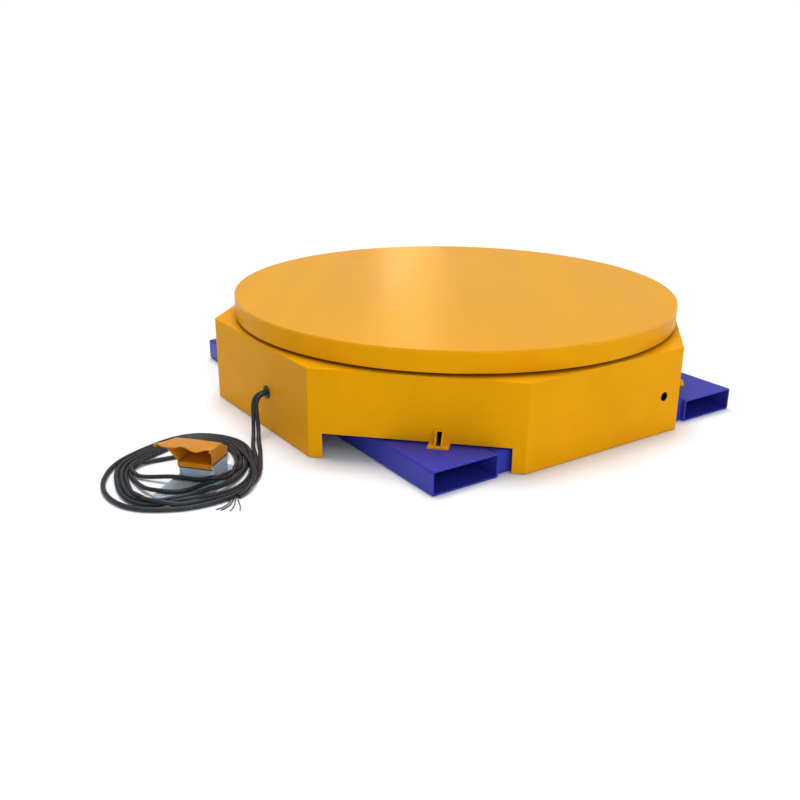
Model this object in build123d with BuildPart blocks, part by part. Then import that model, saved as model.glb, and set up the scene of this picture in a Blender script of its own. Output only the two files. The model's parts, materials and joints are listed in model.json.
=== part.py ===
"""Powered pallet turntable for stretch wrapping, with fork pockets, a foot switch and a supply cable.

Units are millimetres.  +Z is up.  The origin is on the turning axis, at floor level.
-Y is the front, where the fork pockets open.  The cables leave through the left side, -X.
"""

import math
import os

from build123d import *

os.makedirs("parts", exist_ok=True)

# ---------------------------------------------------------------- driving dimensions
# turning deck
DECK_RADIUS = 750.0
DECK_TOP = 345.0
DECK_PLATE = 8.0
RIM_BOTTOM = 280.0
RIM_WALL = 5.0

# eight-sided skirt
SKIRT_HALF = 755.0          # half of the width across flats
SKIRT_TOP = 270.0
SKIRT_FOOT = 2.0            # clear of the floor
SHEET = 3.0
BEND_RADIUS = 8.0
TOP_OPENING_RADIUS = 700.0
NOTCH_HEIGHT = 77.0
NOTCH_HALF = 273.0
OUTLET_Z = 123.0
FRONT_OUTLET_X = 244.0
FRONT_OUTLET_RADIUS = 15.0
SIDE_OUTLET_Y = -55.0
SIDE_OUTLET_RADIUS = 16.5

# lug that carries the skirt on a fork tube
LUG_ALONG = 68.0            # from the middle of a corner face, towards the tube's middle
LUG_WIDTH = 60.0
LUG_REACH = 38.0
LUG_PLATE = 5.0
LUG_TOP = 120.0
SLOT_WIDTH = 15.0
SLOT_TOP = 112.0

# fork tubes and base frame
TUBE_WIDTH = 224.0
TUBE_HEIGHT = 72.0
TUBE_WALL = 5.0
TUBE_CORNER = 7.0
TUBE_LENGTH = 1448.0
TUBE_SPACING = 1000.0
CROSS_WIDTH = 100.0
CROSS_FACE = 712.0          # outer face of a cross tube, from the axis
CENTRE_BEAM_WIDTH = 220.0
BASE_PLATE = 8.0
BASE_PLATE_HALF = 690.0
BASE_PLATE_CORNER = 650.0   # from the axis to the edge that faces a corner of the skirt

# slewing ring
BALL_CIRCLE_RADIUS = 214.75
BALL_RADIUS = 8.0
BALL_COUNT = 40
RACE_CLEARANCE = 0.1
RACE_GAP = 2.5
INNER_RING_BORE = 175.0
RING_HEIGHT = 56.0
PEDESTAL_TOP = 252.0
OUTER_RING_BOTTOM = 256.0
RING_BOLT_RADIUS = 6.0
RING_BOLT_COUNT = 16
INNER_BOLT_CIRCLE = 188.0
OUTER_BOLT_CIRCLE = 233.0
BOLT_CLEARANCE = 0.75

# gears
GEAR_MODULE = 5.0
GEAR_TEETH = 100
PINION_TEETH = 20
PRESSURE_ANGLE = math.radians(20.0)
TOOTH_THINNING = 0.5

# support rollers
ROLLER_COUNT = 8
ROLLER_CIRCLE_RADIUS = 640.0
ROLLER_RADIUS = 40.0
ROLLER_WIDTH = 34.0
ROLLER_AXLE_RADIUS = 10.0
TRACK_THICKNESS = 6.0
TRACK_WIDTH = 50.0
ROLLER_GAP = 0.3

# foot switch: its middle on the floor, and the way the foot goes out of it
FOOT_X = -1076.0
FOOT_Y = -297.0
FOOT_HEADING = 220.0
FOOT_FRONT = 152.0
FOOT_REAR = -96.5
FOOT_HALF_WIDTH = 66.0
FOOT_BLOCK_FRONT = 25.0
FOOT_BLOCK_REAR = -64.5
FOOT_BLOCK_HALF = 50.0
FOOT_BLOCK_TOP = 64.0
FOOT_REST_TOP = 16.0
FOOT_RUBBER = 4.0

# cables
POWER_CABLE_RADIUS = 6.5
PEDAL_CABLE_RADIUS = 6.0
CABLE_SIDE = 6.4            # half of the distance between the two cables at the outlet
COIL_X = -1086.0
COIL_Y = -216.0
COIL_OUTER_RADIUS = 242.0
COIL_INNER_RADIUS = 150.0
COIL_HEIGHT = 38.0
CONDUCTOR_RADIUS = 1.4

# ---------------------------------------------------------------- derived places
deck_under = DECK_TOP - DECK_PLATE
base_top = TUBE_HEIGHT + BASE_PLATE
gear_pitch_radius = GEAR_MODULE * GEAR_TEETH / 2
pinion_pitch_radius = GEAR_MODULE * PINION_TEETH / 2
pinion_distance = gear_pitch_radius + pinion_pitch_radius
outer_ring_top = OUTER_RING_BOTTOM + RING_HEIGHT
track_bottom = deck_under - TRACK_THICKNESS
roller_z = track_bottom - ROLLER_GAP - ROLLER_RADIUS
octagon_radius = SKIRT_HALF / math.cos(math.radians(22.5))


def save(node, name):
    """Labels a finished piece and writes its STEP file."""
    node.part.label = name
    export_step(node.part, f"parts/{name}.step")


def at(x, y, z, turn=0.0):
    """A plane at a point, facing up, turned about Z."""
    return Plane(origin=(x, y, z)).rotated((0, 0, turn))


def foot_plane(z):
    """A plane of the foot switch: its X goes towards the toes, its Y to the right hand side."""
    return at(FOOT_X, FOOT_Y, z, FOOT_HEADING)


# ================================================================ base frame
def box_tube(width, height, wall, corner, length, plane):
    """A rectangular tube whose section lies on the plane, centred along it."""
    with BuildPart() as tube:
        with BuildSketch(plane):
            RectangleRounded(width, height, corner)
            RectangleRounded(width - 2 * wall, height - 2 * wall, corner - wall + 0.5, mode=Mode.SUBTRACT)
        extrude(amount=length / 2, both=True)
    return tube


for side, name in ((-1, "fork_tube_left"), (1, "fork_tube_right")):
    section = Plane(origin=(side * TUBE_SPACING / 2, 0, TUBE_HEIGHT / 2), x_dir=(1, 0, 0), z_dir=(0, -1, 0))
    save(box_tube(TUBE_WIDTH, TUBE_HEIGHT, TUBE_WALL, TUBE_CORNER, TUBE_LENGTH, section), name)

cross_length = TUBE_SPACING - TUBE_WIDTH
cross_y = CROSS_FACE - CROSS_WIDTH / 2


def across(y):
    """A plane square to X through the middle of a cross tube."""
    return Plane(origin=(0, y, TUBE_HEIGHT / 2), x_dir=(0, 1, 0), z_dir=(1, 0, 0))


with BuildPart() as cross_tubes:
    for y in (-cross_y, cross_y):
        add(box_tube(CROSS_WIDTH, TUBE_HEIGHT, TUBE_WALL, TUBE_CORNER, cross_length, across(y)).part)
save(cross_tubes, "cross_tubes")
centre_beam = box_tube(CENTRE_BEAM_WIDTH, TUBE_HEIGHT, TUBE_WALL, TUBE_CORNER, cross_length, across(0))
save(centre_beam, "centre_beam")

WINDOW_WIDTH = 300.0
WINDOW_LENGTH = 220.0
WINDOW_Y = 440.0
with BuildPart() as base_plate:
    with BuildSketch(Plane.XY.offset(TUBE_HEIGHT)):
        Rectangle(2 * BASE_PLATE_HALF, 2 * BASE_PLATE_HALF)
        Rectangle(2 * BASE_PLATE_CORNER, 2 * BASE_PLATE_CORNER, rotation=45, mode=Mode.INTERSECT)
        with Locations((0, -WINDOW_Y)):
            RectangleRounded(WINDOW_WIDTH, WINDOW_LENGTH, 30, mode=Mode.SUBTRACT)
        Circle(150, mode=Mode.SUBTRACT)
    extrude(amount=BASE_PLATE)
save(base_plate, "base_plate")

# ================================================================ pedestal and slewing ring
PEDESTAL_RADIUS = 190.0
PEDESTAL_WALL = 10.0
PEDESTAL_FLANGE = 10.0
PEDESTAL_FOOT_RADIUS = 222.0
inner_ring_radius = BALL_CIRCLE_RADIUS - RACE_GAP / 2
outer_ring_bore = BALL_CIRCLE_RADIUS + RACE_GAP / 2
race_z = (PEDESTAL_TOP + outer_ring_top) / 2

with BuildPart() as pedestal:
    with BuildSketch(Plane.XY.offset(base_top)):
        Circle(PEDESTAL_FOOT_RADIUS)
        Circle(PEDESTAL_RADIUS - PEDESTAL_WALL, mode=Mode.SUBTRACT)
    extrude(amount=PEDESTAL_FLANGE)
    with BuildSketch(Plane.XY.offset(base_top)):
        Circle(PEDESTAL_RADIUS)
        Circle(PEDESTAL_RADIUS - PEDESTAL_WALL, mode=Mode.SUBTRACT)
    extrude(amount=PEDESTAL_TOP - base_top)
    with BuildSketch(Plane.XY.offset(PEDESTAL_TOP - PEDESTAL_FLANGE)):
        Circle(inner_ring_radius - 1)
        Circle(INNER_RING_BORE, mode=Mode.SUBTRACT)
        with PolarLocations(INNER_BOLT_CIRCLE, RING_BOLT_COUNT):
            Circle(RING_BOLT_RADIUS + BOLT_CLEARANCE, mode=Mode.SUBTRACT)
    extrude(amount=PEDESTAL_FLANGE)
    with PolarLocations(INNER_BOLT_CIRCLE, RING_BOLT_COUNT):
        with Locations((0, 0, PEDESTAL_TOP - 12)):
            Cylinder(RING_BOLT_RADIUS + BOLT_CLEARANCE, 30, mode=Mode.SUBTRACT)
    with BuildSketch(Plane.XZ):
        with Locations((0, (base_top + PEDESTAL_TOP) / 2)):
            RectangleRounded(120, 90, 15)
    extrude(amount=PEDESTAL_FOOT_RADIUS + 10, both=True, mode=Mode.SUBTRACT)
    with BuildSketch(Plane.YZ):
        with Locations((0, (base_top + PEDESTAL_TOP) / 2)):
            RectangleRounded(120, 90, 15)
    extrude(amount=PEDESTAL_FOOT_RADIUS + 10, both=True, mode=Mode.SUBTRACT)
save(pedestal, "pedestal")

with BuildPart() as inner_ring:
    with BuildSketch(Plane.XY.offset(PEDESTAL_TOP)):
        Circle(inner_ring_radius)
        Circle(INNER_RING_BORE, mode=Mode.SUBTRACT)
        with PolarLocations(INNER_BOLT_CIRCLE, RING_BOLT_COUNT):
            Circle(RING_BOLT_RADIUS + BOLT_CLEARANCE, mode=Mode.SUBTRACT)
    extrude(amount=RING_HEIGHT)
    with Locations((0, 0, race_z)):
        Torus(BALL_CIRCLE_RADIUS, BALL_RADIUS + RACE_CLEARANCE, mode=Mode.SUBTRACT)
save(inner_ring, "slewing_inner_ring")


def tooth(teeth, thinning):
    """One gear tooth pointing along +X: its flanks are arcs through three points of the involute."""
    pitch = GEAR_MODULE * teeth / 2
    tip = pitch + GEAR_MODULE
    root = pitch - 1.25 * GEAR_MODULE
    base = pitch * math.cos(PRESSURE_ANGLE)
    start = max(base, root) + 0.01
    middle = (start + tip) / 2
    half_at_pitch = math.pi / (2 * teeth) - thinning / (2 * pitch)
    involute_at_pitch = math.tan(PRESSURE_ANGLE) - PRESSURE_ANGLE

    def flank(radius, sign):
        angle = math.acos(base / radius)
        half = half_at_pitch + involute_at_pitch - (math.tan(angle) - angle)
        return (radius * math.cos(half), sign * radius * math.sin(half))

    def foot(sign):
        x, y = flank(start, sign)
        inside = (root - 1) / start
        return (x * inside, y * inside)

    with BuildSketch() as shape:
        with BuildLine():
            Line(foot(-1), flank(start, -1))
            ThreePointArc(flank(start, -1), flank(middle, -1), flank(tip, -1))
            ThreePointArc(flank(tip, -1), (tip, 0), flank(tip, 1))
            ThreePointArc(flank(tip, 1), flank(middle, 1), flank(start, 1))
            Line(flank(start, 1), foot(1))
            Line(foot(1), foot(-1))
        make_face()
    return shape.sketch


gear_tooth = tooth(GEAR_TEETH, TOOTH_THINNING)
with BuildPart() as gear_ring:
    with BuildSketch(Plane.XY.offset(OUTER_RING_BOTTOM)):
        Circle(gear_pitch_radius - 1.25 * GEAR_MODULE)
        with PolarLocations(0, GEAR_TEETH):
            add(gear_tooth)
        Circle(outer_ring_bore, mode=Mode.SUBTRACT)
        with PolarLocations(OUTER_BOLT_CIRCLE, RING_BOLT_COUNT):
            Circle(RING_BOLT_RADIUS + BOLT_CLEARANCE, mode=Mode.SUBTRACT)
    extrude(amount=RING_HEIGHT)
    with Locations((0, 0, race_z)):
        Torus(BALL_CIRCLE_RADIUS, BALL_RADIUS + RACE_CLEARANCE, mode=Mode.SUBTRACT)
save(gear_ring, "slewing_gear_ring")

with BuildPart() as balls:
    with PolarLocations(BALL_CIRCLE_RADIUS, BALL_COUNT):
        with Locations((0, 0, race_z)):
            Sphere(BALL_RADIUS)
save(balls, "slewing_balls")


def ring_bolts(circle, under_head, length, up):
    """A circle of hexagon bolts: heads above the face when up is 1, below it when up is -1."""
    with BuildPart() as bolts:
        with BuildSketch(Plane.XY.offset(under_head)):
            with PolarLocations(circle, RING_BOLT_COUNT):
                RegularPolygon(10.0, 6)
        extrude(amount=up * 7.5)
        with BuildSketch(Plane.XY.offset(under_head)):
            with PolarLocations(circle, RING_BOLT_COUNT):
                Circle(RING_BOLT_RADIUS)
        extrude(amount=-up * length)
    return bolts


pedestal_bolts = ring_bolts(INNER_BOLT_CIRCLE, PEDESTAL_TOP + RING_HEIGHT, RING_HEIGHT + PEDESTAL_FLANGE, 1)
save(pedestal_bolts, "pedestal_bolts")
HUB_BOLT_DEPTH = 16.0
save(ring_bolts(OUTER_BOLT_CIRCLE, OUTER_RING_BOTTOM, RING_HEIGHT + HUB_BOLT_DEPTH, -1), "deck_bolts")

# ================================================================ turning deck
with BuildPart() as deck_plate:
    with BuildSketch(Plane.XY.offset(deck_under)):
        Circle(DECK_RADIUS)
    extrude(amount=DECK_PLATE)
    fillet(deck_plate.edges().group_by(Axis.Z)[-1], 2.0)
save(deck_plate, "deck_plate")

with BuildPart() as deck_rim:
    with BuildSketch(Plane.XY.offset(RIM_BOTTOM)):
        Circle(DECK_RADIUS)
        Circle(DECK_RADIUS - RIM_WALL, mode=Mode.SUBTRACT)
    extrude(amount=deck_under - RIM_BOTTOM)
save(deck_rim, "deck_rim")

HUB_BORE = 204.0
HUB_RADIUS = 243.0
with BuildPart() as hub_ring:
    with BuildSketch(Plane.XY.offset(outer_ring_top)):
        Circle(HUB_RADIUS)
        Circle(HUB_BORE, mode=Mode.SUBTRACT)
    extrude(amount=deck_under - outer_ring_top)
    with BuildSketch(Plane.XY.offset(outer_ring_top)):
        with PolarLocations(OUTER_BOLT_CIRCLE, RING_BOLT_COUNT):
            Circle(RING_BOLT_RADIUS + 0.1)
    extrude(amount=HUB_BOLT_DEPTH + 2, mode=Mode.SUBTRACT)
save(hub_ring, "deck_hub_ring")

track_inner = ROLLER_CIRCLE_RADIUS - TRACK_WIDTH / 2
track_outer = ROLLER_CIRCLE_RADIUS + TRACK_WIDTH / 2
with BuildPart() as roller_track:
    with BuildSketch(Plane.XY.offset(track_bottom)):
        Circle(track_outer)
        Circle(track_inner, mode=Mode.SUBTRACT)
    extrude(amount=TRACK_THICKNESS)
save(roller_track, "roller_track")

RIB_COUNT = 8
RIB_THICKNESS = 8.0
RIB_BOTTOM = 314.0
rib_spans = ((HUB_RADIUS + 0.5, track_inner - 1), (track_outer + 1, DECK_RADIUS - RIM_WALL - 0.5))
with BuildPart() as deck_ribs:
    with BuildSketch(Plane.XY.offset(RIB_BOTTOM)):
        for start, end in rib_spans:
            with PolarLocations((start + end) / 2, RIB_COUNT):
                Rectangle(end - start, RIB_THICKNESS)
    extrude(amount=deck_under - RIB_BOTTOM)
save(deck_ribs, "deck_ribs")

# ================================================================ support rollers
STAND_PLATE = 6.0
STAND_LENGTH = 110.0
STAND_CHEEK = 64.0
STAND_TOP = 306.0
cheek_offset = ROLLER_WIDTH / 2 + 2.5 + STAND_PLATE / 2
roller_turns = [22.5 + 360.0 / ROLLER_COUNT * n for n in range(ROLLER_COUNT)]


def roller_place(turn, height):
    """A plane at a roller's place: its X points outwards along the radius."""
    x = ROLLER_CIRCLE_RADIUS * math.cos(math.radians(turn))
    y = ROLLER_CIRCLE_RADIUS * math.sin(math.radians(turn))
    return at(x, y, height, turn)


with BuildPart() as roller_stands:
    for turn in roller_turns:
        with BuildSketch(roller_place(turn, base_top)):
            RectangleRounded(2 * cheek_offset + STAND_PLATE + 10, STAND_LENGTH, 8)
            with Locations((0, -STAND_LENGTH / 2 + 12), (0, STAND_LENGTH / 2 - 12)):
                Circle(5.5, mode=Mode.SUBTRACT)
        extrude(amount=STAND_PLATE)
        with BuildSketch(roller_place(turn, base_top + STAND_PLATE)):
            with Locations((-cheek_offset, 0), (cheek_offset, 0)):
                Rectangle(STAND_PLATE, STAND_CHEEK)
            Rectangle(2 * cheek_offset, STAND_PLATE)
        extrude(amount=roller_z - ROLLER_RADIUS - 12 - base_top - STAND_PLATE)
        with BuildSketch(roller_place(turn, base_top + STAND_PLATE)):
            with Locations((-cheek_offset, 0), (cheek_offset, 0)):
                Rectangle(STAND_PLATE, STAND_CHEEK)
        extrude(amount=STAND_TOP - base_top - STAND_PLATE)
        place = roller_place(turn, roller_z)
        with BuildSketch(Plane(origin=place.origin, x_dir=place.y_dir, z_dir=place.x_dir)):
            Circle(ROLLER_AXLE_RADIUS + 0.05)
        extrude(amount=60, both=True, mode=Mode.SUBTRACT)
save(roller_stands, "roller_stands")

with BuildPart() as roller_axles:
    for turn in roller_turns:
        place = roller_place(turn, roller_z)
        end = cheek_offset + STAND_PLATE / 2 + 6
        with BuildSketch(Plane(origin=place.origin, x_dir=place.y_dir, z_dir=place.x_dir)):
            Circle(ROLLER_AXLE_RADIUS)
        extrude(amount=end, both=True)
save(roller_axles, "roller_axles")

for number, turn in enumerate(roller_turns, start=1):
    place = roller_place(turn, roller_z)
    with BuildPart() as roller:
        with BuildSketch(Plane(origin=place.origin, x_dir=place.y_dir, z_dir=place.x_dir)):
            Circle(ROLLER_RADIUS)
            Circle(ROLLER_AXLE_RADIUS + 0.1, mode=Mode.SUBTRACT)
        extrude(amount=ROLLER_WIDTH / 2, both=True)
        for side in (-1, 1):
            face_origin = place.origin + place.x_dir * side * ROLLER_WIDTH / 2
            with BuildSketch(Plane(origin=face_origin, x_dir=place.y_dir, z_dir=place.x_dir * side)):
                Circle(30)
                Circle(17, mode=Mode.SUBTRACT)
            extrude(amount=-4, mode=Mode.SUBTRACT)
        rims = roller.edges().filter_by(GeomType.CIRCLE)
        fillet([edge for edge in rims if edge.radius > ROLLER_RADIUS - 0.1], 2)
    save(roller, f"support_roller_{number}")

# ================================================================ drive
GEARBOX_HALF = 68.0
GEARBOX_BOTTOM = 90.0
GEARBOX_TOP = 235.0
SHAFT_RADIUS = 17.5
MOTOR_Z = 155.0
MOTOR_RADIUS = 62.0
motor_front = pinion_distance + GEARBOX_HALF
MOTOR_FLANGE = 12.0
MOTOR_LENGTH = 175.0
COWL_LENGTH = 60.0

with BuildPart() as motor_plate:
    with BuildSketch(at(0, pinion_distance, base_top)):
        RectangleRounded(220, 152, 10)
        with GridLocations(180, 110, 2, 2):
            SlotOverall(26, 13, mode=Mode.SUBTRACT)
    extrude(amount=GEARBOX_BOTTOM - base_top)
save(motor_plate, "gearbox_mount_plate")

with BuildPart() as gearbox:
    with BuildSketch(at(0, pinion_distance, GEARBOX_BOTTOM)):
        RectangleRounded(2 * GEARBOX_HALF, 2 * GEARBOX_HALF, 14)
    extrude(amount=GEARBOX_TOP - GEARBOX_BOTTOM - 10)
    with BuildSketch(at(0, pinion_distance, GEARBOX_TOP - 10)):
        Circle(54)
    extrude(amount=10)
    with BuildSketch(at(0, pinion_distance, GEARBOX_TOP)):
        Circle(SHAFT_RADIUS + 0.1)
    extrude(amount=-60, mode=Mode.SUBTRACT)
    for side in (-1, 1):
        side_place = (side * GEARBOX_HALF, pinion_distance, MOTOR_Z)
        with BuildSketch(Plane(origin=side_place, x_dir=(0, 1, 0), z_dir=(side, 0, 0))):
            with Locations((-44, 0), (-22, 0), (0, 0), (22, 0), (44, 0)):
                Rectangle(6, 96)
        extrude(amount=6)
save(gearbox, "gearbox_housing")

PINION_BOTTOM = 262.0
PINION_TOP = 304.0
with BuildPart() as output_shaft:
    with BuildSketch(at(0, pinion_distance, GEARBOX_TOP - 55)):
        Circle(SHAFT_RADIUS)
    extrude(amount=PINION_TOP - GEARBOX_TOP + 55)
    chamfer(output_shaft.edges().group_by(Axis.Z)[-1], 1)
save(output_shaft, "output_shaft")

pinion_tooth = tooth(PINION_TEETH, TOOTH_THINNING)
with BuildPart() as pinion:
    with BuildSketch(at(0, pinion_distance, PINION_BOTTOM, 180.0 / PINION_TEETH)):
        Circle(pinion_pitch_radius - 1.25 * GEAR_MODULE)
        with PolarLocations(0, PINION_TEETH):
            add(pinion_tooth)
        Circle(SHAFT_RADIUS, mode=Mode.SUBTRACT)
    extrude(amount=PINION_TOP - PINION_BOTTOM)
save(pinion, "drive_pinion")

with BuildPart() as pinion_washer:
    with BuildSketch(at(0, pinion_distance, PINION_TOP)):
        Circle(24)
    extrude(amount=3)
    with BuildSketch(at(0, pinion_distance, PINION_TOP + 3)):
        RegularPolygon(8, 6)
    extrude(amount=3.5)
save(pinion_washer, "pinion_retainer")


def motor_section(y):
    """A plane square to the motor's shaft, at a distance along +Y."""
    return Plane(origin=(0, y, MOTOR_Z), x_dir=(1, 0, 0), z_dir=(0, 1, 0))


FIN_COUNT = 28
with BuildPart() as motor:
    with BuildSketch(motor_section(motor_front)):
        RectangleRounded(120, 120, 10)
    extrude(amount=MOTOR_FLANGE)
    with BuildSketch(motor_section(motor_front + MOTOR_FLANGE)):
        Circle(MOTOR_RADIUS - 8)
        with PolarLocations(MOTOR_RADIUS - 5, FIN_COUNT):
            Rectangle(10, 3.2)
    extrude(amount=MOTOR_LENGTH)
save(motor, "drive_motor")

cowl_start = motor_front + MOTOR_FLANGE + MOTOR_LENGTH
with BuildPart() as cowl:
    with BuildSketch(motor_section(cowl_start)):
        Circle(MOTOR_RADIUS + 3)
    extrude(amount=COWL_LENGTH, taper=4)
    fillet(cowl.edges().group_by(Axis.Y)[-1], 8)
    with BuildSketch(motor_section(cowl_start + COWL_LENGTH)):
        for ring in (20, 32, 44):
            Circle(ring + 3)
            Circle(ring - 3, mode=Mode.SUBTRACT)
    extrude(amount=-3, mode=Mode.SUBTRACT)
save(cowl, "motor_fan_cowl")

with BuildPart() as terminal_box:
    with BuildSketch(at(0, motor_front + MOTOR_FLANGE + 70, MOTOR_Z + MOTOR_RADIUS)):
        RectangleRounded(92, 92, 8)
    extrude(amount=34)
    fillet(terminal_box.edges().group_by(Axis.Z)[-1], 3)
save(terminal_box, "motor_terminal_box")

# ================================================================ controls inside the skirt
CONTROL_X = -480.0
CONTROL_Y = 20.0
CONTROL_DEPTH = 150.0
CONTROL_LENGTH = 300.0
CONTROL_BOTTOM = base_top
CONTROL_HEIGHT = 150.0
CONTROL_WALL = 2.5
control_face = CONTROL_X - CONTROL_DEPTH / 2
gland_wall = Plane(origin=(control_face, SIDE_OUTLET_Y, OUTLET_Z), x_dir=(0, -1, 0), z_dir=(-1, 0, 0))
with BuildPart() as control_box:
    with BuildSketch(at(CONTROL_X, CONTROL_Y, CONTROL_BOTTOM)):
        RectangleRounded(CONTROL_DEPTH, CONTROL_LENGTH, 5)
    extrude(amount=CONTROL_HEIGHT)
    with BuildSketch(at(CONTROL_X, CONTROL_Y, CONTROL_BOTTOM + CONTROL_WALL)):
        RectangleRounded(CONTROL_DEPTH - 2 * CONTROL_WALL, CONTROL_LENGTH - 2 * CONTROL_WALL, 3)
    extrude(amount=CONTROL_HEIGHT, mode=Mode.SUBTRACT)
    with BuildSketch(gland_wall):
        with Locations((-16, 0), (16, 0)):
            Circle(9.1)
    extrude(amount=6, both=True, mode=Mode.SUBTRACT)
save(control_box, "control_box")

with BuildPart() as control_lid:
    with BuildSketch(at(CONTROL_X, CONTROL_Y, CONTROL_BOTTOM + CONTROL_HEIGHT)):
        RectangleRounded(CONTROL_DEPTH + 8, CONTROL_LENGTH + 8, 7)
    extrude(amount=10)
    fillet(control_lid.edges().group_by(Axis.Z)[-1], 3)
save(control_lid, "control_box_lid")

with BuildPart() as box_glands:
    with BuildSketch(gland_wall):
        with Locations((-16, 0), (16, 0)):
            RegularPolygon(12, 6)
    extrude(amount=14)
    with BuildSketch(gland_wall):
        with Locations((-16, 0), (16, 0)):
            Circle(9)
    extrude(amount=-10)
    with BuildSketch(gland_wall):
        with Locations((-16, 0), (16, 0)):
            Circle(POWER_CABLE_RADIUS + 0.1)
    extrude(amount=30, both=True, mode=Mode.SUBTRACT)
save(box_glands, "control_box_glands")


def tube(points, bend_radii, radius):
    """A round tube along straight runs joined by tangent arcs."""
    first = Vector(*points[1]) - Vector(*points[0])
    with BuildPart() as piece:
        with BuildLine() as route:
            FilletPolyline(*points, radius=bend_radii)
        with BuildSketch(Plane(origin=points[0], z_dir=first)):
            Circle(radius)
        sweep(path=route.wire())
    length = route.wire().length
    share = piece.part.volume / (math.pi * radius**2 * length)
    print("tube length", round(length, 1), "volume share", round(share, 4))
    return piece


def arc_radii(points):
    """For each corner of a route, the largest arc that its two runs allow."""
    radii = []
    for before, corner, after in zip(points, points[1:], points[2:]):
        arriving = Vector(*corner) - Vector(*before)
        leaving = Vector(*after) - Vector(*corner)
        turn = math.radians(arriving.get_angle(leaving))
        radii.append(0.45 * min(arriving.length, leaving.length) / math.tan(turn / 2))
    print("arc radii", [round(r) for r in radii])
    return radii


outlet_x = -SKIRT_HALF - 3.0
inner_runs = []
for side in (-1, 1):
    inner_runs.append([
        (control_face + 8, SIDE_OUTLET_Y + side * 16, OUTLET_Z),
        (control_face - 60, SIDE_OUTLET_Y + side * 16, OUTLET_Z),
        (outlet_x + 60, SIDE_OUTLET_Y + side * CABLE_SIDE, OUTLET_Z),
        (outlet_x, SIDE_OUTLET_Y + side * CABLE_SIDE, OUTLET_Z),
    ])
with BuildPart() as cables_inside:
    for inner_run, radius in zip(inner_runs, (POWER_CABLE_RADIUS, PEDAL_CABLE_RADIUS)):
        add(tube(inner_run, arc_radii(inner_run), radius).part)
save(cables_inside, "cables_inside")

GROMMET_FLANGE = 20.5
with BuildPart() as grommet:
    outside = Plane(origin=(outlet_x, SIDE_OUTLET_Y, OUTLET_Z), x_dir=(0, 1, 0), z_dir=(1, 0, 0))
    with BuildSketch(outside):
        Circle(GROMMET_FLANGE)
    extrude(amount=3)
    with BuildSketch(outside):
        Circle(SIDE_OUTLET_RADIUS)
    extrude(amount=9)
    with BuildSketch(outside.offset(6)):
        Circle(GROMMET_FLANGE)
    extrude(amount=3)
    with BuildSketch(outside):
        with Locations((-CABLE_SIDE, 0)):
            Circle(POWER_CABLE_RADIUS + 0.05)
        with Locations((CABLE_SIDE, 0)):
            Circle(PEDAL_CABLE_RADIUS + 0.05)
    extrude(amount=20, both=True, mode=Mode.SUBTRACT)
save(grommet, "cable_grommet")

# ================================================================ skirt
front_outlet = Plane(origin=(FRONT_OUTLET_X, -SKIRT_HALF, OUTLET_Z), x_dir=(1, 0, 0), z_dir=(0, -1, 0))
side_outlet = Plane(origin=(-SKIRT_HALF, SIDE_OUTLET_Y, OUTLET_Z), x_dir=(0, -1, 0), z_dir=(-1, 0, 0))
PANEL_NAMES = ("skirt_panel_front", "skirt_panel_right", "skirt_panel_rear", "skirt_panel_left")


def corner(index, inset):
    """Corner of the octagon, counted from the one at the left end of the front-left corner face."""
    angle = math.radians(202.5 + 45.0 * index)
    radius = octagon_radius - inset / math.cos(math.radians(22.5))
    return (radius * math.cos(angle), radius * math.sin(angle))


def corner_face(inset, turn):
    """A plane on the outside of a panel's corner face, X along the face towards the bend, Y up."""
    angle = math.radians(225.0 + turn)
    normal = (math.cos(angle), math.sin(angle), 0)
    along = (-math.sin(angle), math.cos(angle), 0)
    distance = SKIRT_HALF - inset
    return Plane(origin=(normal[0] * distance, normal[1] * distance, 0), x_dir=along, z_dir=normal)


for quarter, name in enumerate(PANEL_NAMES):
    turn = 90.0 * quarter
    lug_along = LUG_ALONG if quarter % 2 == 0 else -LUG_ALONG
    with BuildPart() as panel:
        with BuildSketch(at(0, 0, SKIRT_FOOT, turn)) as profile:
            with BuildLine():
                outer = [corner(n, 0) for n in range(3)]
                inner = [corner(n, SHEET) for n in range(3)]
                Polyline(*outer, *reversed(inner), close=True)
            make_face()
            fillet(profile.vertices().sort_by_distance(Vector(*corner(1, 0)))[0], BEND_RADIUS)
            fillet(profile.vertices().sort_by_distance(Vector(*corner(1, SHEET)))[0], BEND_RADIUS - SHEET)
        extrude(amount=SKIRT_TOP - SKIRT_FOOT)
        with BuildSketch(corner_face(-10, turn)):
            with Locations((0, NOTCH_HEIGHT / 2)):
                Rectangle(2 * NOTCH_HALF, NOTCH_HEIGHT)
            with Locations((lug_along, SLOT_TOP / 2)):
                Rectangle(SLOT_WIDTH, SLOT_TOP)
        extrude(amount=-40, mode=Mode.SUBTRACT)
        if name == "skirt_panel_front":
            with BuildSketch(front_outlet):
                Circle(FRONT_OUTLET_RADIUS)
            extrude(amount=20, both=True, mode=Mode.SUBTRACT)
        if name == "skirt_panel_left":
            with BuildSketch(side_outlet):
                Circle(SIDE_OUTLET_RADIUS)
            extrude(amount=20, both=True, mode=Mode.SUBTRACT)
    save(panel, name)

with BuildPart() as skirt_top:
    with BuildSketch(Plane.XY.offset(SKIRT_TOP - SHEET)):
        RegularPolygon(SKIRT_HALF - SHEET - 0.05, 8, major_radius=False, rotation=22.5)
        Circle(TOP_OPENING_RADIUS, mode=Mode.SUBTRACT)
    extrude(amount=SHEET)
    fillet(skirt_top.edges().filter_by(Axis.Z), 6)
save(skirt_top, "skirt_top_flange")

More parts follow.
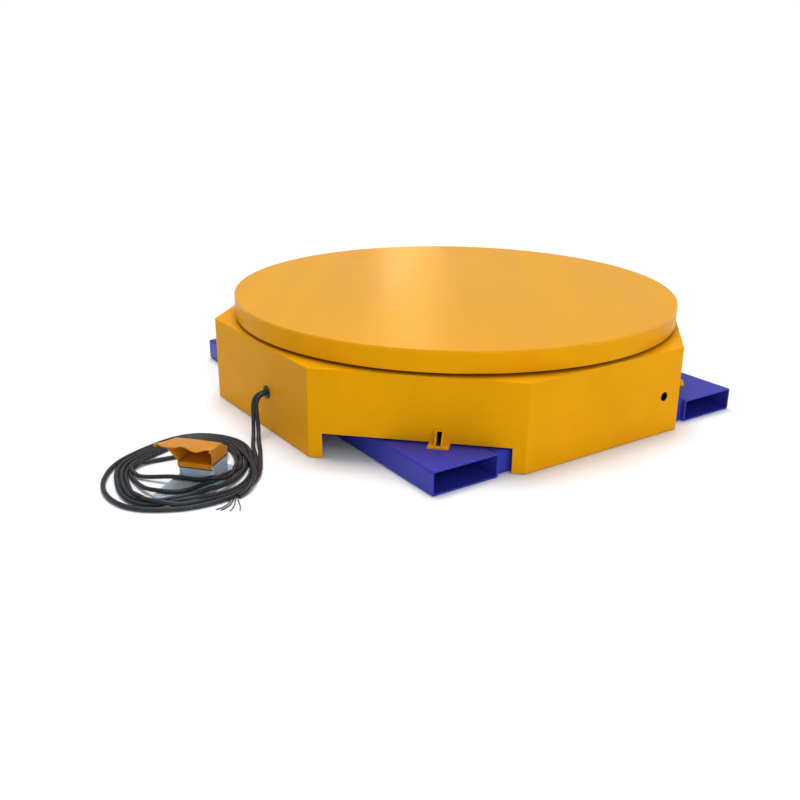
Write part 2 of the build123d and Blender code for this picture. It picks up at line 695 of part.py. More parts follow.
STRAP = 4.0
STRAP_LEG = 30.0
with BuildPart() as corner_straps:
    for quarter in range(4):
        middle = Vector(*corner(0, SHEET + 0.05))
        to_left = (Vector(*corner(-1, SHEET + 0.05)) - middle).normalized() * STRAP_LEG
        to_right = (Vector(*corner(1, SHEET + 0.05)) - middle).normalized() * STRAP_LEG
        inside = Vector(*corner(0, SHEET + 0.05 + STRAP))
        with BuildSketch(at(0, 0, NOTCH_HEIGHT + 10, 90.0 * quarter)):
            with BuildLine():
                Polyline(middle + to_left, middle, middle + to_right, inside + to_right * 0.95,
                         inside, inside + to_left * 0.95, close=True)
            make_face()
        extrude(amount=SKIRT_TOP - SHEET - NOTCH_HEIGHT - 20)
save(corner_straps, "skirt_corner_straps")

LUG_RIB = 4.0
with BuildPart() as skirt_lugs:
    for quarter in range(4):
        lug_along = LUG_ALONG if quarter % 2 == 0 else -LUG_ALONG
        face = corner_face(0, 90.0 * quarter)
        with BuildSketch(face):
            with BuildLine():
                Polyline(
                    (lug_along - LUG_WIDTH / 2, TUBE_HEIGHT),
                    (lug_along + LUG_WIDTH / 2, TUBE_HEIGHT),
                    (lug_along + LUG_WIDTH / 2, TUBE_HEIGHT + 14),
                    (lug_along + SLOT_WIDTH / 2 + LUG_RIB, LUG_TOP),
                    (lug_along - SLOT_WIDTH / 2 - LUG_RIB, LUG_TOP),
                    (lug_along - LUG_WIDTH / 2, TUBE_HEIGHT + 14),
                    close=True,
                )
            make_face()
            with Locations((lug_along, (TUBE_HEIGHT + LUG_PLATE + SLOT_TOP) / 2)):
                Rectangle(SLOT_WIDTH, SLOT_TOP - TUBE_HEIGHT - LUG_PLATE, mode=Mode.SUBTRACT)
        extrude(amount=4)
        foot = Plane(origin=face.origin + Vector(0, 0, TUBE_HEIGHT), x_dir=face.x_dir, z_dir=(0, 0, 1))
        with BuildSketch(foot):
            with Locations((lug_along, -LUG_REACH / 2)):
                Rectangle(LUG_WIDTH, LUG_REACH)
            with Locations((lug_along, -18)):
                Circle(4.5, mode=Mode.SUBTRACT)
        extrude(amount=LUG_PLATE)
        for side in (-1, 1):
            offset = lug_along + side * (SLOT_WIDTH + LUG_RIB) / 2
            rib = Plane(origin=face.origin + face.x_dir * offset, x_dir=face.z_dir, z_dir=-face.x_dir)
            with BuildSketch(rib):
                with BuildLine():
                    Polyline((3.9, TUBE_HEIGHT + 4), (LUG_REACH - 6, TUBE_HEIGHT + 4),
                             (LUG_REACH - 6, TUBE_HEIGHT + 10), (3.9, LUG_TOP - 6), close=True)
                make_face()
            extrude(amount=LUG_RIB / 2, both=True)
save(skirt_lugs, "skirt_lugs")

with BuildPart() as lug_bolts:
    for quarter in range(4):
        lug_along = LUG_ALONG if quarter % 2 == 0 else -LUG_ALONG
        face = corner_face(0, 90.0 * quarter)
        seat_place = face.origin + Vector(0, 0, TUBE_HEIGHT + LUG_PLATE)
        seat = Plane(origin=seat_place, x_dir=face.x_dir, z_dir=(0, 0, 1))
        with BuildSketch(seat):
            with Locations((lug_along, -18)):
                RegularPolygon(7.2, 6)
        extrude(amount=6)
        with BuildSketch(seat):
            with Locations((lug_along, -18)):
                Circle(4)
        extrude(amount=-LUG_PLATE)
save(lug_bolts, "skirt_lug_bolts")

# ================================================================ foot switch
BLOCK_WALL = 5.0
BLOCK_FLOOR = 14.0
TREADLE_PIVOT_X = -48.0
TREADLE_PIVOT_Z = 57.0
TREADLE_BOTTOM = 62.0
TREADLE_TOP = 67.0
TREADLE_FRONT = 30.3
TREADLE_REAR = -54.0
TREADLE_HALF = 41.5
TREADLE_LIP = 3.0
TREADLE_LIP_HALF = 49.0
TREADLE_LIP_BOTTOM = 53.0
PIN_RADIUS = 3.0
GLAND_Z = 27.0
gland_rear = FOOT_REAR - 2
block_length = FOOT_BLOCK_FRONT - FOOT_BLOCK_REAR
FRONT_WALL_TOP = 50.0


def foot_side(y):
    """A plane along the foot switch: X towards the toes, Y up, at a sideways offset."""
    base = foot_plane(0)
    return Plane(origin=base.origin + base.y_dir * y, x_dir=base.x_dir, z_dir=-base.y_dir)


def foot_end(x):
    """A plane square to the foot switch's length, facing its rear, at a distance towards the toes."""
    base = foot_plane(0)
    return Plane(origin=base.origin + base.x_dir * x, x_dir=base.y_dir * -1, z_dir=-base.x_dir)


with BuildPart() as foot_base:
    with BuildSketch(foot_plane(FOOT_RUBBER)):
        with Locations(((FOOT_FRONT + FOOT_REAR) / 2, 0)):
            RectangleRounded(FOOT_FRONT - FOOT_REAR, 2 * FOOT_HALF_WIDTH, 26)
    extrude(amount=FOOT_REST_TOP - FOOT_RUBBER)
    fillet(foot_base.edges().group_by(Axis.Z)[-1], 4)
    with BuildSketch(foot_plane(FOOT_RUBBER)):
        with Locations(((FOOT_BLOCK_FRONT + FOOT_BLOCK_REAR) / 2, 0)):
            RectangleRounded(block_length, 2 * FOOT_BLOCK_HALF, 5)
    extrude(amount=FOOT_BLOCK_TOP - FOOT_RUBBER)
    with BuildSketch(foot_plane(BLOCK_FLOOR)):
        with Locations(((FOOT_BLOCK_FRONT + FOOT_BLOCK_REAR) / 2, 0)):
            Rectangle(block_length - 2 * BLOCK_WALL, 2 * (FOOT_BLOCK_HALF - BLOCK_WALL))
    extrude(amount=60, mode=Mode.SUBTRACT)
    with BuildSketch(foot_plane(FRONT_WALL_TOP)):
        with Locations((FOOT_BLOCK_FRONT, 0)):
            Rectangle(3 * BLOCK_WALL, 2 * (FOOT_BLOCK_HALF - BLOCK_WALL))
    extrude(amount=60, mode=Mode.SUBTRACT)
    with BuildSketch(foot_side(0)):
        with Locations((TREADLE_PIVOT_X, TREADLE_PIVOT_Z)):
            Circle(PIN_RADIUS)
    extrude(amount=FOOT_BLOCK_HALF + 5, both=True, mode=Mode.SUBTRACT)
    with BuildSketch(foot_end(FOOT_BLOCK_REAR)):
        with Locations((0, GLAND_Z)):
            Circle(8)
    extrude(amount=10, both=True, mode=Mode.SUBTRACT)
    with BuildSketch(foot_plane(FOOT_REST_TOP)):
        with Locations((FOOT_FRONT - 45, 0), (FOOT_FRONT - 31, 0), (FOOT_FRONT - 17, 0)):
            SlotOverall(80, 4, rotation=90)
    extrude(amount=-1.5, mode=Mode.SUBTRACT)
save(foot_base, "foot_switch_base")

with BuildPart() as foot_pads:
    with BuildSketch(foot_plane(0)):
        with Locations(((FOOT_FRONT + FOOT_REAR) / 2, 0)):
            with GridLocations(FOOT_FRONT - FOOT_REAR - 44, 2 * FOOT_HALF_WIDTH - 44, 2, 2):
                Circle(11)
    extrude(amount=FOOT_RUBBER)
save(foot_pads, "foot_switch_feet")

with BuildPart() as treadle:
    with BuildSketch(foot_plane(TREADLE_BOTTOM)):
        with Locations(((TREADLE_FRONT + TREADLE_REAR) / 2, 0)):
            RectangleRounded(TREADLE_FRONT - TREADLE_REAR, 2 * TREADLE_HALF, 6)
    extrude(amount=TREADLE_TOP - TREADLE_BOTTOM)
    with BuildSketch(foot_plane(TREADLE_LIP_BOTTOM)):
        with Locations((TREADLE_FRONT - TREADLE_LIP / 2, 0)):
            Rectangle(TREADLE_LIP, 2 * TREADLE_LIP_HALF)
    extrude(amount=TREADLE_TOP - TREADLE_LIP_BOTTOM)
    for side in (-1, 1):
        with BuildSketch(foot_side(side * (TREADLE_HALF - 4))):
            with BuildLine():
                Polyline(
                    (TREADLE_PIVOT_X - 6, TREADLE_BOTTOM + 1),
                    (TREADLE_PIVOT_X + 6, TREADLE_BOTTOM + 1),
                    (TREADLE_PIVOT_X + 6, TREADLE_PIVOT_Z - 5),
                    (TREADLE_PIVOT_X - 6, TREADLE_PIVOT_Z - 5),
                    close=True,
                )
            make_face()
            with Locations((TREADLE_PIVOT_X, TREADLE_PIVOT_Z)):
                Circle(PIN_RADIUS + 0.05, mode=Mode.SUBTRACT)
        extrude(amount=3, both=True)
    with BuildSketch(foot_plane(TREADLE_TOP)):
        with Locations((-26, 0), (-14, 0), (-2, 0), (10, 0), (22, 0)):
            Rectangle(4, 2 * TREADLE_HALF - 14)
    extrude(amount=1.2)
save(treadle, "foot_switch_treadle")

with BuildPart() as treadle_pin:
    with BuildSketch(foot_side(0)):
        with Locations((TREADLE_PIVOT_X, TREADLE_PIVOT_Z)):
            Circle(PIN_RADIUS)
    extrude(amount=FOOT_BLOCK_HALF, both=True)
save(treadle_pin, "foot_switch_pivot_pin")

SPRING_X = -6.0
SPRING_RADIUS = 6.0
SPRING_WIRE = 0.9
SPRING_TURNS = 6
SPRING_Y = 24.0
spring_height = TREADLE_BOTTOM - BLOCK_FLOOR - 2 * SPRING_WIRE - 0.4
with BuildPart() as spring:
    start = foot_plane(BLOCK_FLOOR + SPRING_WIRE + 0.2)
    centre = start.origin + start.x_dir * SPRING_X + start.y_dir * SPRING_Y
    with BuildLine() as coil:
        Helix(pitch=spring_height / SPRING_TURNS, height=spring_height, radius=SPRING_RADIUS, center=centre)
    with BuildSketch(Plane(origin=coil.line @ 0, z_dir=coil.line % 0)):
        Circle(SPRING_WIRE)
    sweep(path=coil.line, is_frenet=True)
save(spring, "foot_switch_spring")

SWITCH_BLOCK_TOP = 51.0
with BuildPart() as contact_block:
    with BuildSketch(foot_plane(BLOCK_FLOOR)):
        with Locations((-14, -8)):
            RectangleRounded(34, 30, 2)
    extrude(amount=SWITCH_BLOCK_TOP - BLOCK_FLOOR)
    with BuildSketch(foot_plane(SWITCH_BLOCK_TOP)):
        with Locations((-20, -8)):
            Circle(4)
    extrude(amount=5)
save(contact_block, "foot_switch_contact_block")

GUARD_WALL = 3.0
GUARD_MID = 84.0
GUARD_ROOF_REAR = -3.0
GUARD_ROOF_FRONT = 88.0
GUARD_ROOF_LOW = 120.0
GUARD_ROOF_HIGH = 135.0
GUARD_ROOF_HALF_REAR = 67.0
GUARD_ROOF_HALF_FRONT = 82.0
GUARD_MOUTH = 40.0          # how far the hollow is cut past the front edge


def guard_outline(rear, front, half_rear, half_front, inset):
    """Corners of the guard at one level.  The hollow is inset, and runs on past the front."""
    mouth = GUARD_MOUTH if inset else 0.0
    spread = (half_front - half_rear) / (front - rear) * mouth
    return [
        (rear + inset, -half_rear + inset),
        (front + mouth, -half_front - spread + inset),
        (front + mouth, half_front + spread - inset),
        (rear + inset, half_rear - inset),
    ]


def guard_roof(drop):
    """The plane of the sloping roof, lowered by the wall's thickness for the hollow."""
    base = foot_plane(GUARD_ROOF_LOW)
    rise = math.atan2(GUARD_ROOF_HIGH - GUARD_ROOF_LOW, GUARD_ROOF_FRONT - GUARD_ROOF_REAR)
    up = base.z_dir * math.cos(rise) - base.x_dir * math.sin(rise)
    ahead = base.x_dir * math.cos(rise) + base.z_dir * math.sin(rise)
    return Plane(origin=base.origin + base.x_dir * GUARD_ROOF_REAR - up * drop, x_dir=ahead, z_dir=up)


roof_length = math.hypot(GUARD_ROOF_FRONT - GUARD_ROOF_REAR, GUARD_ROOF_HIGH - GUARD_ROOF_LOW)
block_sizes = (FOOT_BLOCK_REAR, FOOT_BLOCK_FRONT, FOOT_BLOCK_HALF, FOOT_BLOCK_HALF)
roof_sizes = (0.0, roof_length, GUARD_ROOF_HALF_REAR, GUARD_ROOF_HALF_FRONT)
with BuildPart() as guard:
    for inset, mode in ((0.0, Mode.ADD), (GUARD_WALL, Mode.SUBTRACT)):
        with BuildSketch(foot_plane(FOOT_BLOCK_TOP)):
            with BuildLine():
                Polyline(*guard_outline(*block_sizes, inset), close=True)
            make_face()
        extrude(amount=GUARD_MID - FOOT_BLOCK_TOP, mode=mode)
        with BuildSketch(foot_plane(GUARD_MID)):
            with BuildLine():
                Polyline(*guard_outline(*block_sizes, inset), close=True)
            make_face()
        with BuildSketch(guard_roof(inset)):
            with BuildLine():
                Polyline(*guard_outline(*roof_sizes, inset), close=True)
            make_face()
        loft(ruled=True, mode=mode)
save(guard, "foot_switch_guard")

with BuildPart() as foot_gland:
    with BuildSketch(foot_end(FOOT_BLOCK_REAR)):
        with Locations((0, GLAND_Z)):
            RegularPolygon(11.5, 6)
    extrude(amount=12)
    with BuildSketch(foot_end(FOOT_BLOCK_REAR - 12)):
        with Locations((0, GLAND_Z)):
            Circle(9.5)
    extrude(amount=FOOT_BLOCK_REAR - 12 - gland_rear, taper=8)
    with BuildSketch(foot_end(FOOT_BLOCK_REAR)):
        with Locations((0, GLAND_Z)):
            Circle(8)
    extrude(amount=-BLOCK_WALL)
    with BuildSketch(foot_end(FOOT_BLOCK_REAR)):
        with Locations((0, GLAND_Z)):
            Circle(PEDAL_CABLE_RADIUS)
    extrude(amount=-BLOCK_WALL, mode=Mode.SUBTRACT)
save(foot_gland, "foot_switch_gland")

# ================================================================ cables outside the skirt
power_route = [
    (outlet_x, SIDE_OUTLET_Y - CABLE_SIDE, OUTLET_Z),
    (-777, -62.3, 122),
    (-794, -66.5, 111.5),
    (-802.5, -74.5, 91.5),
    (-805.5, -85, 66),
    (-809.5, -98, 42),
    (-818, -117, 22),
    (-832, -145, 10),
    (-845, -177, 7.5),
    (-855, -207, 7),
]
pedal_route = [
    (outlet_x, SIDE_OUTLET_Y + CABLE_SIDE, OUTLET_Z),
    (-777.5, -49.3, 122.5),
    (-796, -53, 113),
    (-806.5, -61, 94),
    (-812, -71.5, 69),
    (-818, -84.5, 44.5),
    (-828, -103, 22.5),
    (-842, -129, 10),
    (-857, -157, 8),
    (-868, -186, 7.5),
]
pedal_tail_route = [
    (-1001.5, -234.5, GLAND_Z),
    (-979, -215, 25.5),
    (-958, -193, 20),
    (-943, -166, 13),
    (-935, -138, 10),
]
save(tube(power_route, arc_radii(power_route), POWER_CABLE_RADIUS), "power_cable_run")
save(tube(pedal_route, arc_radii(pedal_route), PEDAL_CABLE_RADIUS), "pedal_cable_run")
save(tube(pedal_tail_route, arc_radii(pedal_tail_route), PEDAL_CABLE_RADIUS), "pedal_cable_tail")

with BuildPart() as cable_coil:
    with BuildSketch(at(COIL_X, COIL_Y, 0)):
        Circle(COIL_OUTER_RADIUS)
        Circle(COIL_INNER_RADIUS, mode=Mode.SUBTRACT)
    extrude(amount=COIL_HEIGHT)
    with BuildSketch(foot_plane(-1)):
        with Locations(((FOOT_FRONT + FOOT_REAR) / 2, 0)):
            Rectangle(FOOT_FRONT - FOOT_REAR + 3, 2 * FOOT_HALF_WIDTH + 3)
    extrude(amount=FOOT_REST_TOP + 2, mode=Mode.SUBTRACT)
save(cable_coil, "cable_coil")

# the stripped end of the supply cable: its cores fan out on the floor
core_routes = (
    [(-1048, -445, 3.5), (-1062, -466, 2.5), (-1080, -482, 1.5), (-1103, -489, 1.5)],
    [(-1053, -443, 5), (-1069, -465, 4), (-1089, -478, 2), (-1112, -479, 1.5)],
    [(-1043.5, -446, 5), (-1056, -469, 3), (-1068, -491, 1.5), (-1086, -505, 1.5)],
    [(-1039, -447, 3.5), (-1047, -472, 2), (-1053, -497, 1.5), (-1064, -517, 1.5)],
)
with BuildPart() as conductors:
    for core_route in core_routes:
        heading = Vector(*core_route[1]) - Vector(*core_route[0])
        with BuildLine() as core_line:
            FilletPolyline(*core_route, radius=arc_radii(core_route))
        with BuildSketch(Plane(origin=core_route[0], z_dir=heading)):
            Circle(CONDUCTOR_RADIUS)
        sweep(path=core_line.wire())
save(conductors, "power_cable_conductors")
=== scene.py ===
"""Looks of the powered pallet turntable: materials, cables, foot switch guard, floor, light and camera.

Lengths are in metres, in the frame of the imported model, except where a comment says millimetres.
"""

import json
import math

import bmesh
import bpy
import numpy as np
from mathutils import Matrix, Vector


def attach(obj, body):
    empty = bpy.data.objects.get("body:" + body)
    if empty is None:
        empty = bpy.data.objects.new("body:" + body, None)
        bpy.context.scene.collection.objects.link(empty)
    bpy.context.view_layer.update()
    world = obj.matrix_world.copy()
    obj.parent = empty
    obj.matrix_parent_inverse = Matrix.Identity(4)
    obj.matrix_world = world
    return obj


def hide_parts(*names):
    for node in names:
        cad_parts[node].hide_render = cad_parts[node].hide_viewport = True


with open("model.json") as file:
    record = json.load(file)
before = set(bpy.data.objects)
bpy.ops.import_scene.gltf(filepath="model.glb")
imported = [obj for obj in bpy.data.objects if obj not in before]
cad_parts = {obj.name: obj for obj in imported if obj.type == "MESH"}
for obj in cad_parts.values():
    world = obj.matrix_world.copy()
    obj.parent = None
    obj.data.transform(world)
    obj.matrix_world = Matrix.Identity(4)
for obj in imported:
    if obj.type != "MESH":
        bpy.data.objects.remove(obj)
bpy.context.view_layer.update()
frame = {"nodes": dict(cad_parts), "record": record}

MM = 0.001
nodes = frame["nodes"]
scene = bpy.context.scene


# ---------------------------------------------------------------- camera
CAMERA_PLACE = (-1.933, -2.540, 1.093)
CAMERA_HEADING = math.radians(53.30)   # of its forward direction, from +X towards +Y
CAMERA_DROP = math.radians(20.40)
CAMERA_ROLL = math.radians(1.25)
FOCAL_SHARE = 1.1745                   # focal length over the frame's width
CENTRE_SHIFT = (-0.0550, 0.0074)
SENSOR = 36.0                          # in millimetres, as Blender wants it
CLIP_NEAR, CLIP_FAR = 0.05, 400.0


def make_camera():
    forward = Vector((math.cos(CAMERA_HEADING) * math.cos(CAMERA_DROP),
                      math.sin(CAMERA_HEADING) * math.cos(CAMERA_DROP), -math.sin(CAMERA_DROP)))
    level_right = forward.cross(Vector((0, 0, 1))).normalized()
    level_up = level_right.cross(forward)
    right = level_right * math.cos(CAMERA_ROLL) + level_up * math.sin(CAMERA_ROLL)
    up = level_up * math.cos(CAMERA_ROLL) - level_right * math.sin(CAMERA_ROLL)
    lens = bpy.data.cameras.new("camera")
    lens.sensor_width = SENSOR
    lens.lens = FOCAL_SHARE * SENSOR
    lens.shift_x, lens.shift_y = CENTRE_SHIFT
    lens.clip_start, lens.clip_end = CLIP_NEAR, CLIP_FAR
    camera = bpy.data.objects.new("camera", lens)
    turned = Matrix((right, up, -forward)).transposed().to_4x4()
    camera.matrix_world = Matrix.Translation(CAMERA_PLACE) @ turned
    scene.collection.objects.link(camera)
    scene.camera = camera


make_camera()


# ---------------------------------------------------------------- materials
class Nodes:
    """A short way to write a material's node tree."""

    def __init__(self, name):
        self.material = bpy.data.materials.new(name)
        self.material.use_nodes = True
        self.tree = self.material.node_tree
        self.shader = self.tree.nodes["Principled BSDF"]
        self.place = self.tree.nodes.new("ShaderNodeTexCoord").outputs["Object"]

    def add(self, kind, settings=None, **inputs):
        node = self.tree.nodes.new(kind)
        for key, value in (settings or {}).items():
            setattr(node, key, value)
        for key, value in inputs.items():
            socket = node.inputs[key.replace("_", " ")]
            if isinstance(value, bpy.types.NodeSocket):
                self.tree.links.new(value, socket)
            else:
                socket.default_value = value
        return node

    def noise(self, scale, detail=3.0, roughness=0.5, place=None):
        node = self.add("ShaderNodeTexNoise", Scale=scale, Detail=detail, Roughness=roughness)
        self.tree.links.new(place or self.place, node.inputs["Vector"])
        return node.outputs["Fac"]

    def stretched(self, scale, turn=0.0):
        """The object's coordinates, turned about Z and scaled apart on each axis."""
        node = self.add("ShaderNodeMapping", {"vector_type": "TEXTURE"})
        node.inputs["Rotation"].default_value = (0.0, 0.0, turn)
        node.inputs["Scale"].default_value = tuple(1.0 / s for s in scale)
        self.tree.links.new(self.place, node.inputs["Vector"])
        return node.outputs["Vector"]

    def ramp(self, fac, *stops):
        """A colour ramp: stops are (position, colour)."""
        node = self.tree.nodes.new("ShaderNodeValToRGB")
        self.tree.links.new(fac, node.inputs["Fac"])
        elements = node.color_ramp.elements
        while len(elements) < len(stops):
            elements.new(0.5)
        for element, (position, colour) in zip(elements, stops):
            element.position = position
            element.color = (*colour, 1.0)
        return node.outputs["Color"]

    def span(self, fac, low, high, start=0.0, end=1.0):
        """Stretches fac, as it runs from start to end, to run from low to high."""
        node = self.add("ShaderNodeMapRange", From_Min=start, From_Max=end, To_Min=low, To_Max=high)
        self.tree.links.new(fac, node.inputs["Value"])
        return node.outputs["Result"]

    def mix(self, fac, a, b):
        """Colour a where fac is 0, and colour b where it is 1."""
        node = self.tree.nodes.new("ShaderNodeMix")
        node.data_type = "RGBA"
        for socket, value in zip((node.inputs[0], node.inputs[6], node.inputs[7]), (fac, a, b)):
            if isinstance(value, bpy.types.NodeSocket):
                self.tree.links.new(value, socket)
            elif isinstance(value, tuple):
                socket.default_value = (*value, 1.0)
            else:
                socket.default_value = value
        return node.outputs[2]

    def bump(self, height, strength, distance, under=None):
        node = self.add("ShaderNodeBump", Strength=strength, Distance=distance)
        self.tree.links.new(height, node.inputs["Height"])
        if under:
            self.tree.links.new(under, node.inputs["Normal"])
        return node.outputs["Normal"]

    def set(self, **inputs):
        for key, value in inputs.items():
            socket = self.shader.inputs[key.replace("_", " ")]
            if isinstance(value, bpy.types.NodeSocket):
                self.tree.links.new(value, socket)
            else:
                socket.default_value = (*value, 1.0) if isinstance(value, tuple) else value


def shade(colour, factor):
    return tuple(min(1.0, c * factor) for c in colour)


EDGE_REACH = 0.0015                    # how far from an edge the edge colour reaches: rubbed paint on most coats, a painted highlight on the blue frame


def specular_tint(colour):
    """A pale version of the paint's own colour, so that its gloss doesn't turn it grey."""
    return tuple(c ** 0.35 for c in colour)


def edge_mask(m):
    """1 on an edge, 0 on a flat face, from how far the rounded normal leaves the true one."""
    rounded = m.add("ShaderNodeBevel", {"samples": 4}, Radius=EDGE_REACH)
    geometry = m.tree.nodes.new("ShaderNodeNewGeometry")
    dot = m.add("ShaderNodeVectorMath", {"operation": "DOT_PRODUCT"})
    m.tree.links.new(rounded.outputs["Normal"], dot.inputs[0])
    m.tree.links.new(geometry.outputs["Normal"], dot.inputs[1])
    return m.span(dot.outputs["Value"], 1.0, 0.0, 0.82, 0.995)


def paint(name, colour, roughness=0.34, peel=0.6, wear_and_highlight=0.25, bare_and_highlight=(0.22, 0.2, 0.18), dust=0.12,
          shine=0.03):
    """Semi-gloss paint on steel: faint mottling, darker patches as strong as dust, and orange peel.

    With the edge share above 0, patches along its edges take the edge colour: rubbed-down paint on most
    coats, a painted highlight on the blue frame. shine is its specular level.
    """
    m = Nodes(name)
    mottle = m.noise(7.0, 4.0, 0.6)
    body = m.ramp(mottle, (0.3, shade(colour, 0.955)), (0.7, shade(colour, 1.035)))
    grime = m.span(m.noise(2.3, 6.0, 0.65), 0.0, dust, 0.5, 0.75)
    body = m.mix(grime, body, shade(colour, 0.72))
    # edge patches take the edge colour: rubbed paint on most coats, a painted highlight on the blue frame
    if wear_and_highlight:
        edge_patches = m.span(m.noise(95.0, 4.0, 0.7), 0.0, 1.0, 0.52, 0.66)
        edge = edge_mask(m)
        edge_marks = m.add("ShaderNodeMath", {"operation": "MULTIPLY"})
        m.tree.links.new(edge_patches, edge_marks.inputs[0])
        m.tree.links.new(edge, edge_marks.inputs[1])
        body = m.mix(m.span(edge_marks.outputs[0], 0.0, wear_and_highlight), body, bare_and_highlight)
    gloss = m.span(m.noise(3.1, 3.0, 0.6), roughness - 0.05, roughness + 0.07)
    fine = m.bump(m.noise(620.0, 2.0, 0.5), 0.10 * peel, 0.0004)
    normal = m.bump(m.noise(38.0, 2.0, 0.5), 0.05 * peel, 0.002, fine)
    m.set(Base_Color=body, Roughness=gloss, Normal=normal, Specular_IOR_Level=shine)
    m.set(Specular_Tint=specular_tint(colour))
    return m.material


YELLOW = (0.745, 0.335, 0.003)
# painted reflection: the lighter yellow of the deck's streaks
REFLECTION_YELLOW = (0.86, 0.44, 0.03)
BLUE = (0.029, 0.038, 0.375)
REFLECTION_TURN = math.radians(53.0)       # the heading of the deck's lighter streaks, a painted reflection: the camera's line of sight


def deck_paint():
    """The deck's own coat: the same yellow, with soft lighter streaks that paint a reflection, running along
    the camera's line of sight.
    """
    m = Nodes("deck_yellow")
    body = m.ramp(m.noise(3.0, 5.0, 0.6), (0.3, shade(YELLOW, 0.975)), (0.7, shade(YELLOW, 1.02)))
    reflection_streak = m.noise(1.6, 3.0, 0.5, m.stretched((0.6, 6.0, 1.0), REFLECTION_TURN))
    # painted reflection: the streaks turn a lighter yellow
    body = m.mix(m.span(reflection_streak, 0.0, 0.22, 0.42, 0.70), body, REFLECTION_YELLOW)
    gloss = m.span(reflection_streak, 0.26, 0.36, 0.3, 0.7)
    fine = m.bump(m.noise(480.0, 2.0, 0.5), 0.08, 0.0004)
    normal = m.bump(m.noise(1.6, 2.0, 0.4), 0.25, 0.004, fine)
    m.set(Base_Color=body, Roughness=gloss, Normal=normal, Specular_IOR_Level=0.19)
    m.set(Specular_Tint=specular_tint(YELLOW))
    return m.material


def steel(name="steel", colour=(0.52, 0.51, 0.49), roughness=0.32):
    """Machined steel with turning marks and a film of oil."""
    m = Nodes(name)
    marks = m.noise(60.0, 3.0, 0.6, m.stretched((1.0, 1.0, 14.0)))
    body = m.ramp(marks, (0.3, shade(colour, 0.86)), (0.7, shade(colour, 1.08)))
    gloss = m.span(m.noise(24.0, 4.0, 0.6), roughness - 0.08, roughness + 0.12)
    m.set(Base_Color=body, Roughness=gloss, Metallic=1.0, Normal=m.bump(marks, 0.12, 0.0005))
    return m.material


def plastic(name, colour, roughness=0.5, grain=900.0):
    """Moulded plastic with a fine spark-eroded grain."""
    m = Nodes(name)
    body = m.ramp(m.noise(18.0, 3.0, 0.5), (0.3, shade(colour, 0.9)), (0.7, shade(colour, 1.12)))
    gloss = m.span(m.noise(30.0, 3.0, 0.5), roughness - 0.06, roughness + 0.08)
    m.set(Base_Color=body, Roughness=gloss, Normal=m.bump(m.noise(grain, 2.0, 0.5), 0.14, 0.0003))
    return m.material


def cable_rubber():
    """Extruded rubber sheath: fine drag lines, talc-grey dust and a soft sheen."""
    m = Nodes("cable_sheath")
    dust = m.noise(46.0, 5.0, 0.65)
    body = m.ramp(dust, (0.35, (0.009, 0.012, 0.016)), (0.62, (0.015, 0.019, 0.026)),
                  (0.8, (0.034, 0.040, 0.048)))
    gloss = m.span(m.noise(80.0, 3.0, 0.6), 0.38, 0.55)
    m.set(Base_Color=body, Roughness=gloss, Normal=m.bump(m.noise(700.0, 3.0, 0.6), 0.2, 0.0003))
    m.set(Specular_IOR_Level=0.4)
    return m.material


def hammered(name, colour, roughness=0.34):
    """Hammer-finish enamel on a die casting."""
    m = Nodes(name)
    cells = m.add("ShaderNodeTexVoronoi", {"feature": "SMOOTH_F1"}, Scale=210.0, Smoothness=0.6)
    m.tree.links.new(m.place, cells.inputs["Vector"])
    body = m.ramp(m.noise(30.0, 4.0, 0.6), (0.3, shade(colour, 0.86)), (0.7, shade(colour, 1.1)))
    gloss = m.span(m.noise(45.0, 3.0, 0.5), roughness - 0.06, roughness + 0.1)
    m.set(Base_Color=body, Roughness=gloss, Normal=m.bump(cells.outputs["Distance"], 0.25, 0.0009))
    m.set(Coat_Weight=0.2, Coat_Roughness=0.15)
    return m.material


MATERIALS = {
    "yellow_deck": deck_paint(),
    "yellow_paint": paint("skirt_yellow", YELLOW),
    # the blue frame's light edge colour is a painted highlight along its edges, not wear
    "blue_paint": paint("frame_blue", BLUE, roughness=0.30, wear_and_highlight=0.9, bare_and_highlight=(0.30, 0.32, 0.66),
                        dust=0.08, shine=0.24),
    "machined_steel": steel(),
    "black_bolts": steel("black_oxide", (0.055, 0.055, 0.06), 0.42),
    "grey_enamel": hammered("motor_grey", (0.12, 0.15, 0.17)),
    "box_grey": paint("box_grey", (0.42, 0.44, 0.42), roughness=0.5, peel=1.4, wear_and_highlight=0.0),
    "black_rubber": plastic("black_rubber", (0.02, 0.02, 0.021), 0.6, 500.0),
    "cable_sheath": cable_rubber(),
    "core_insulation": plastic("core_brown", (0.16, 0.055, 0.02), 0.35),
    "roller_nylon": plastic("cast_nylon", (0.74, 0.70, 0.58), 0.42, 300.0),
    "switch_grey": hammered("switch_grey", (0.36, 0.46, 0.56)),
    "switch_orange": paint("switch_orange", (0.60, 0.230, 0.010), roughness=0.36, wear_and_highlight=0.1,
                           bare_and_highlight=(0.5, 0.4, 0.3), shine=0.22),
    "black_plastic": plastic("black_plastic", (0.025, 0.025, 0.027), 0.42),
}
SLOT_OF = {s["node"]: s["material_slot"] for s in frame["record"]["subparts"]}


def finish_node(name):
    """Gives a CAD node its material slot and that slot's material."""
    piece = nodes[name]
    piece.data.materials.clear()
    piece.data.materials.append(MATERIALS[SLOT_OF[name]])


for node_name in nodes:
    finish_node(node_name)


# ---------------------------------------------------------------- helpers for new pieces
def mesh_piece(name, points, faces, slot):
    """A new piece on the base, with the material of its slot."""
    mesh = bpy.data.meshes.new(name)
    mesh.from_pydata([tuple(p) for p in points], [], faces)
    mesh.update()
    piece = bpy.data.objects.new(name, mesh)
    scene.collection.objects.link(piece)
    mesh.materials.append(MATERIALS[slot])
    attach(piece, "base")
    return piece


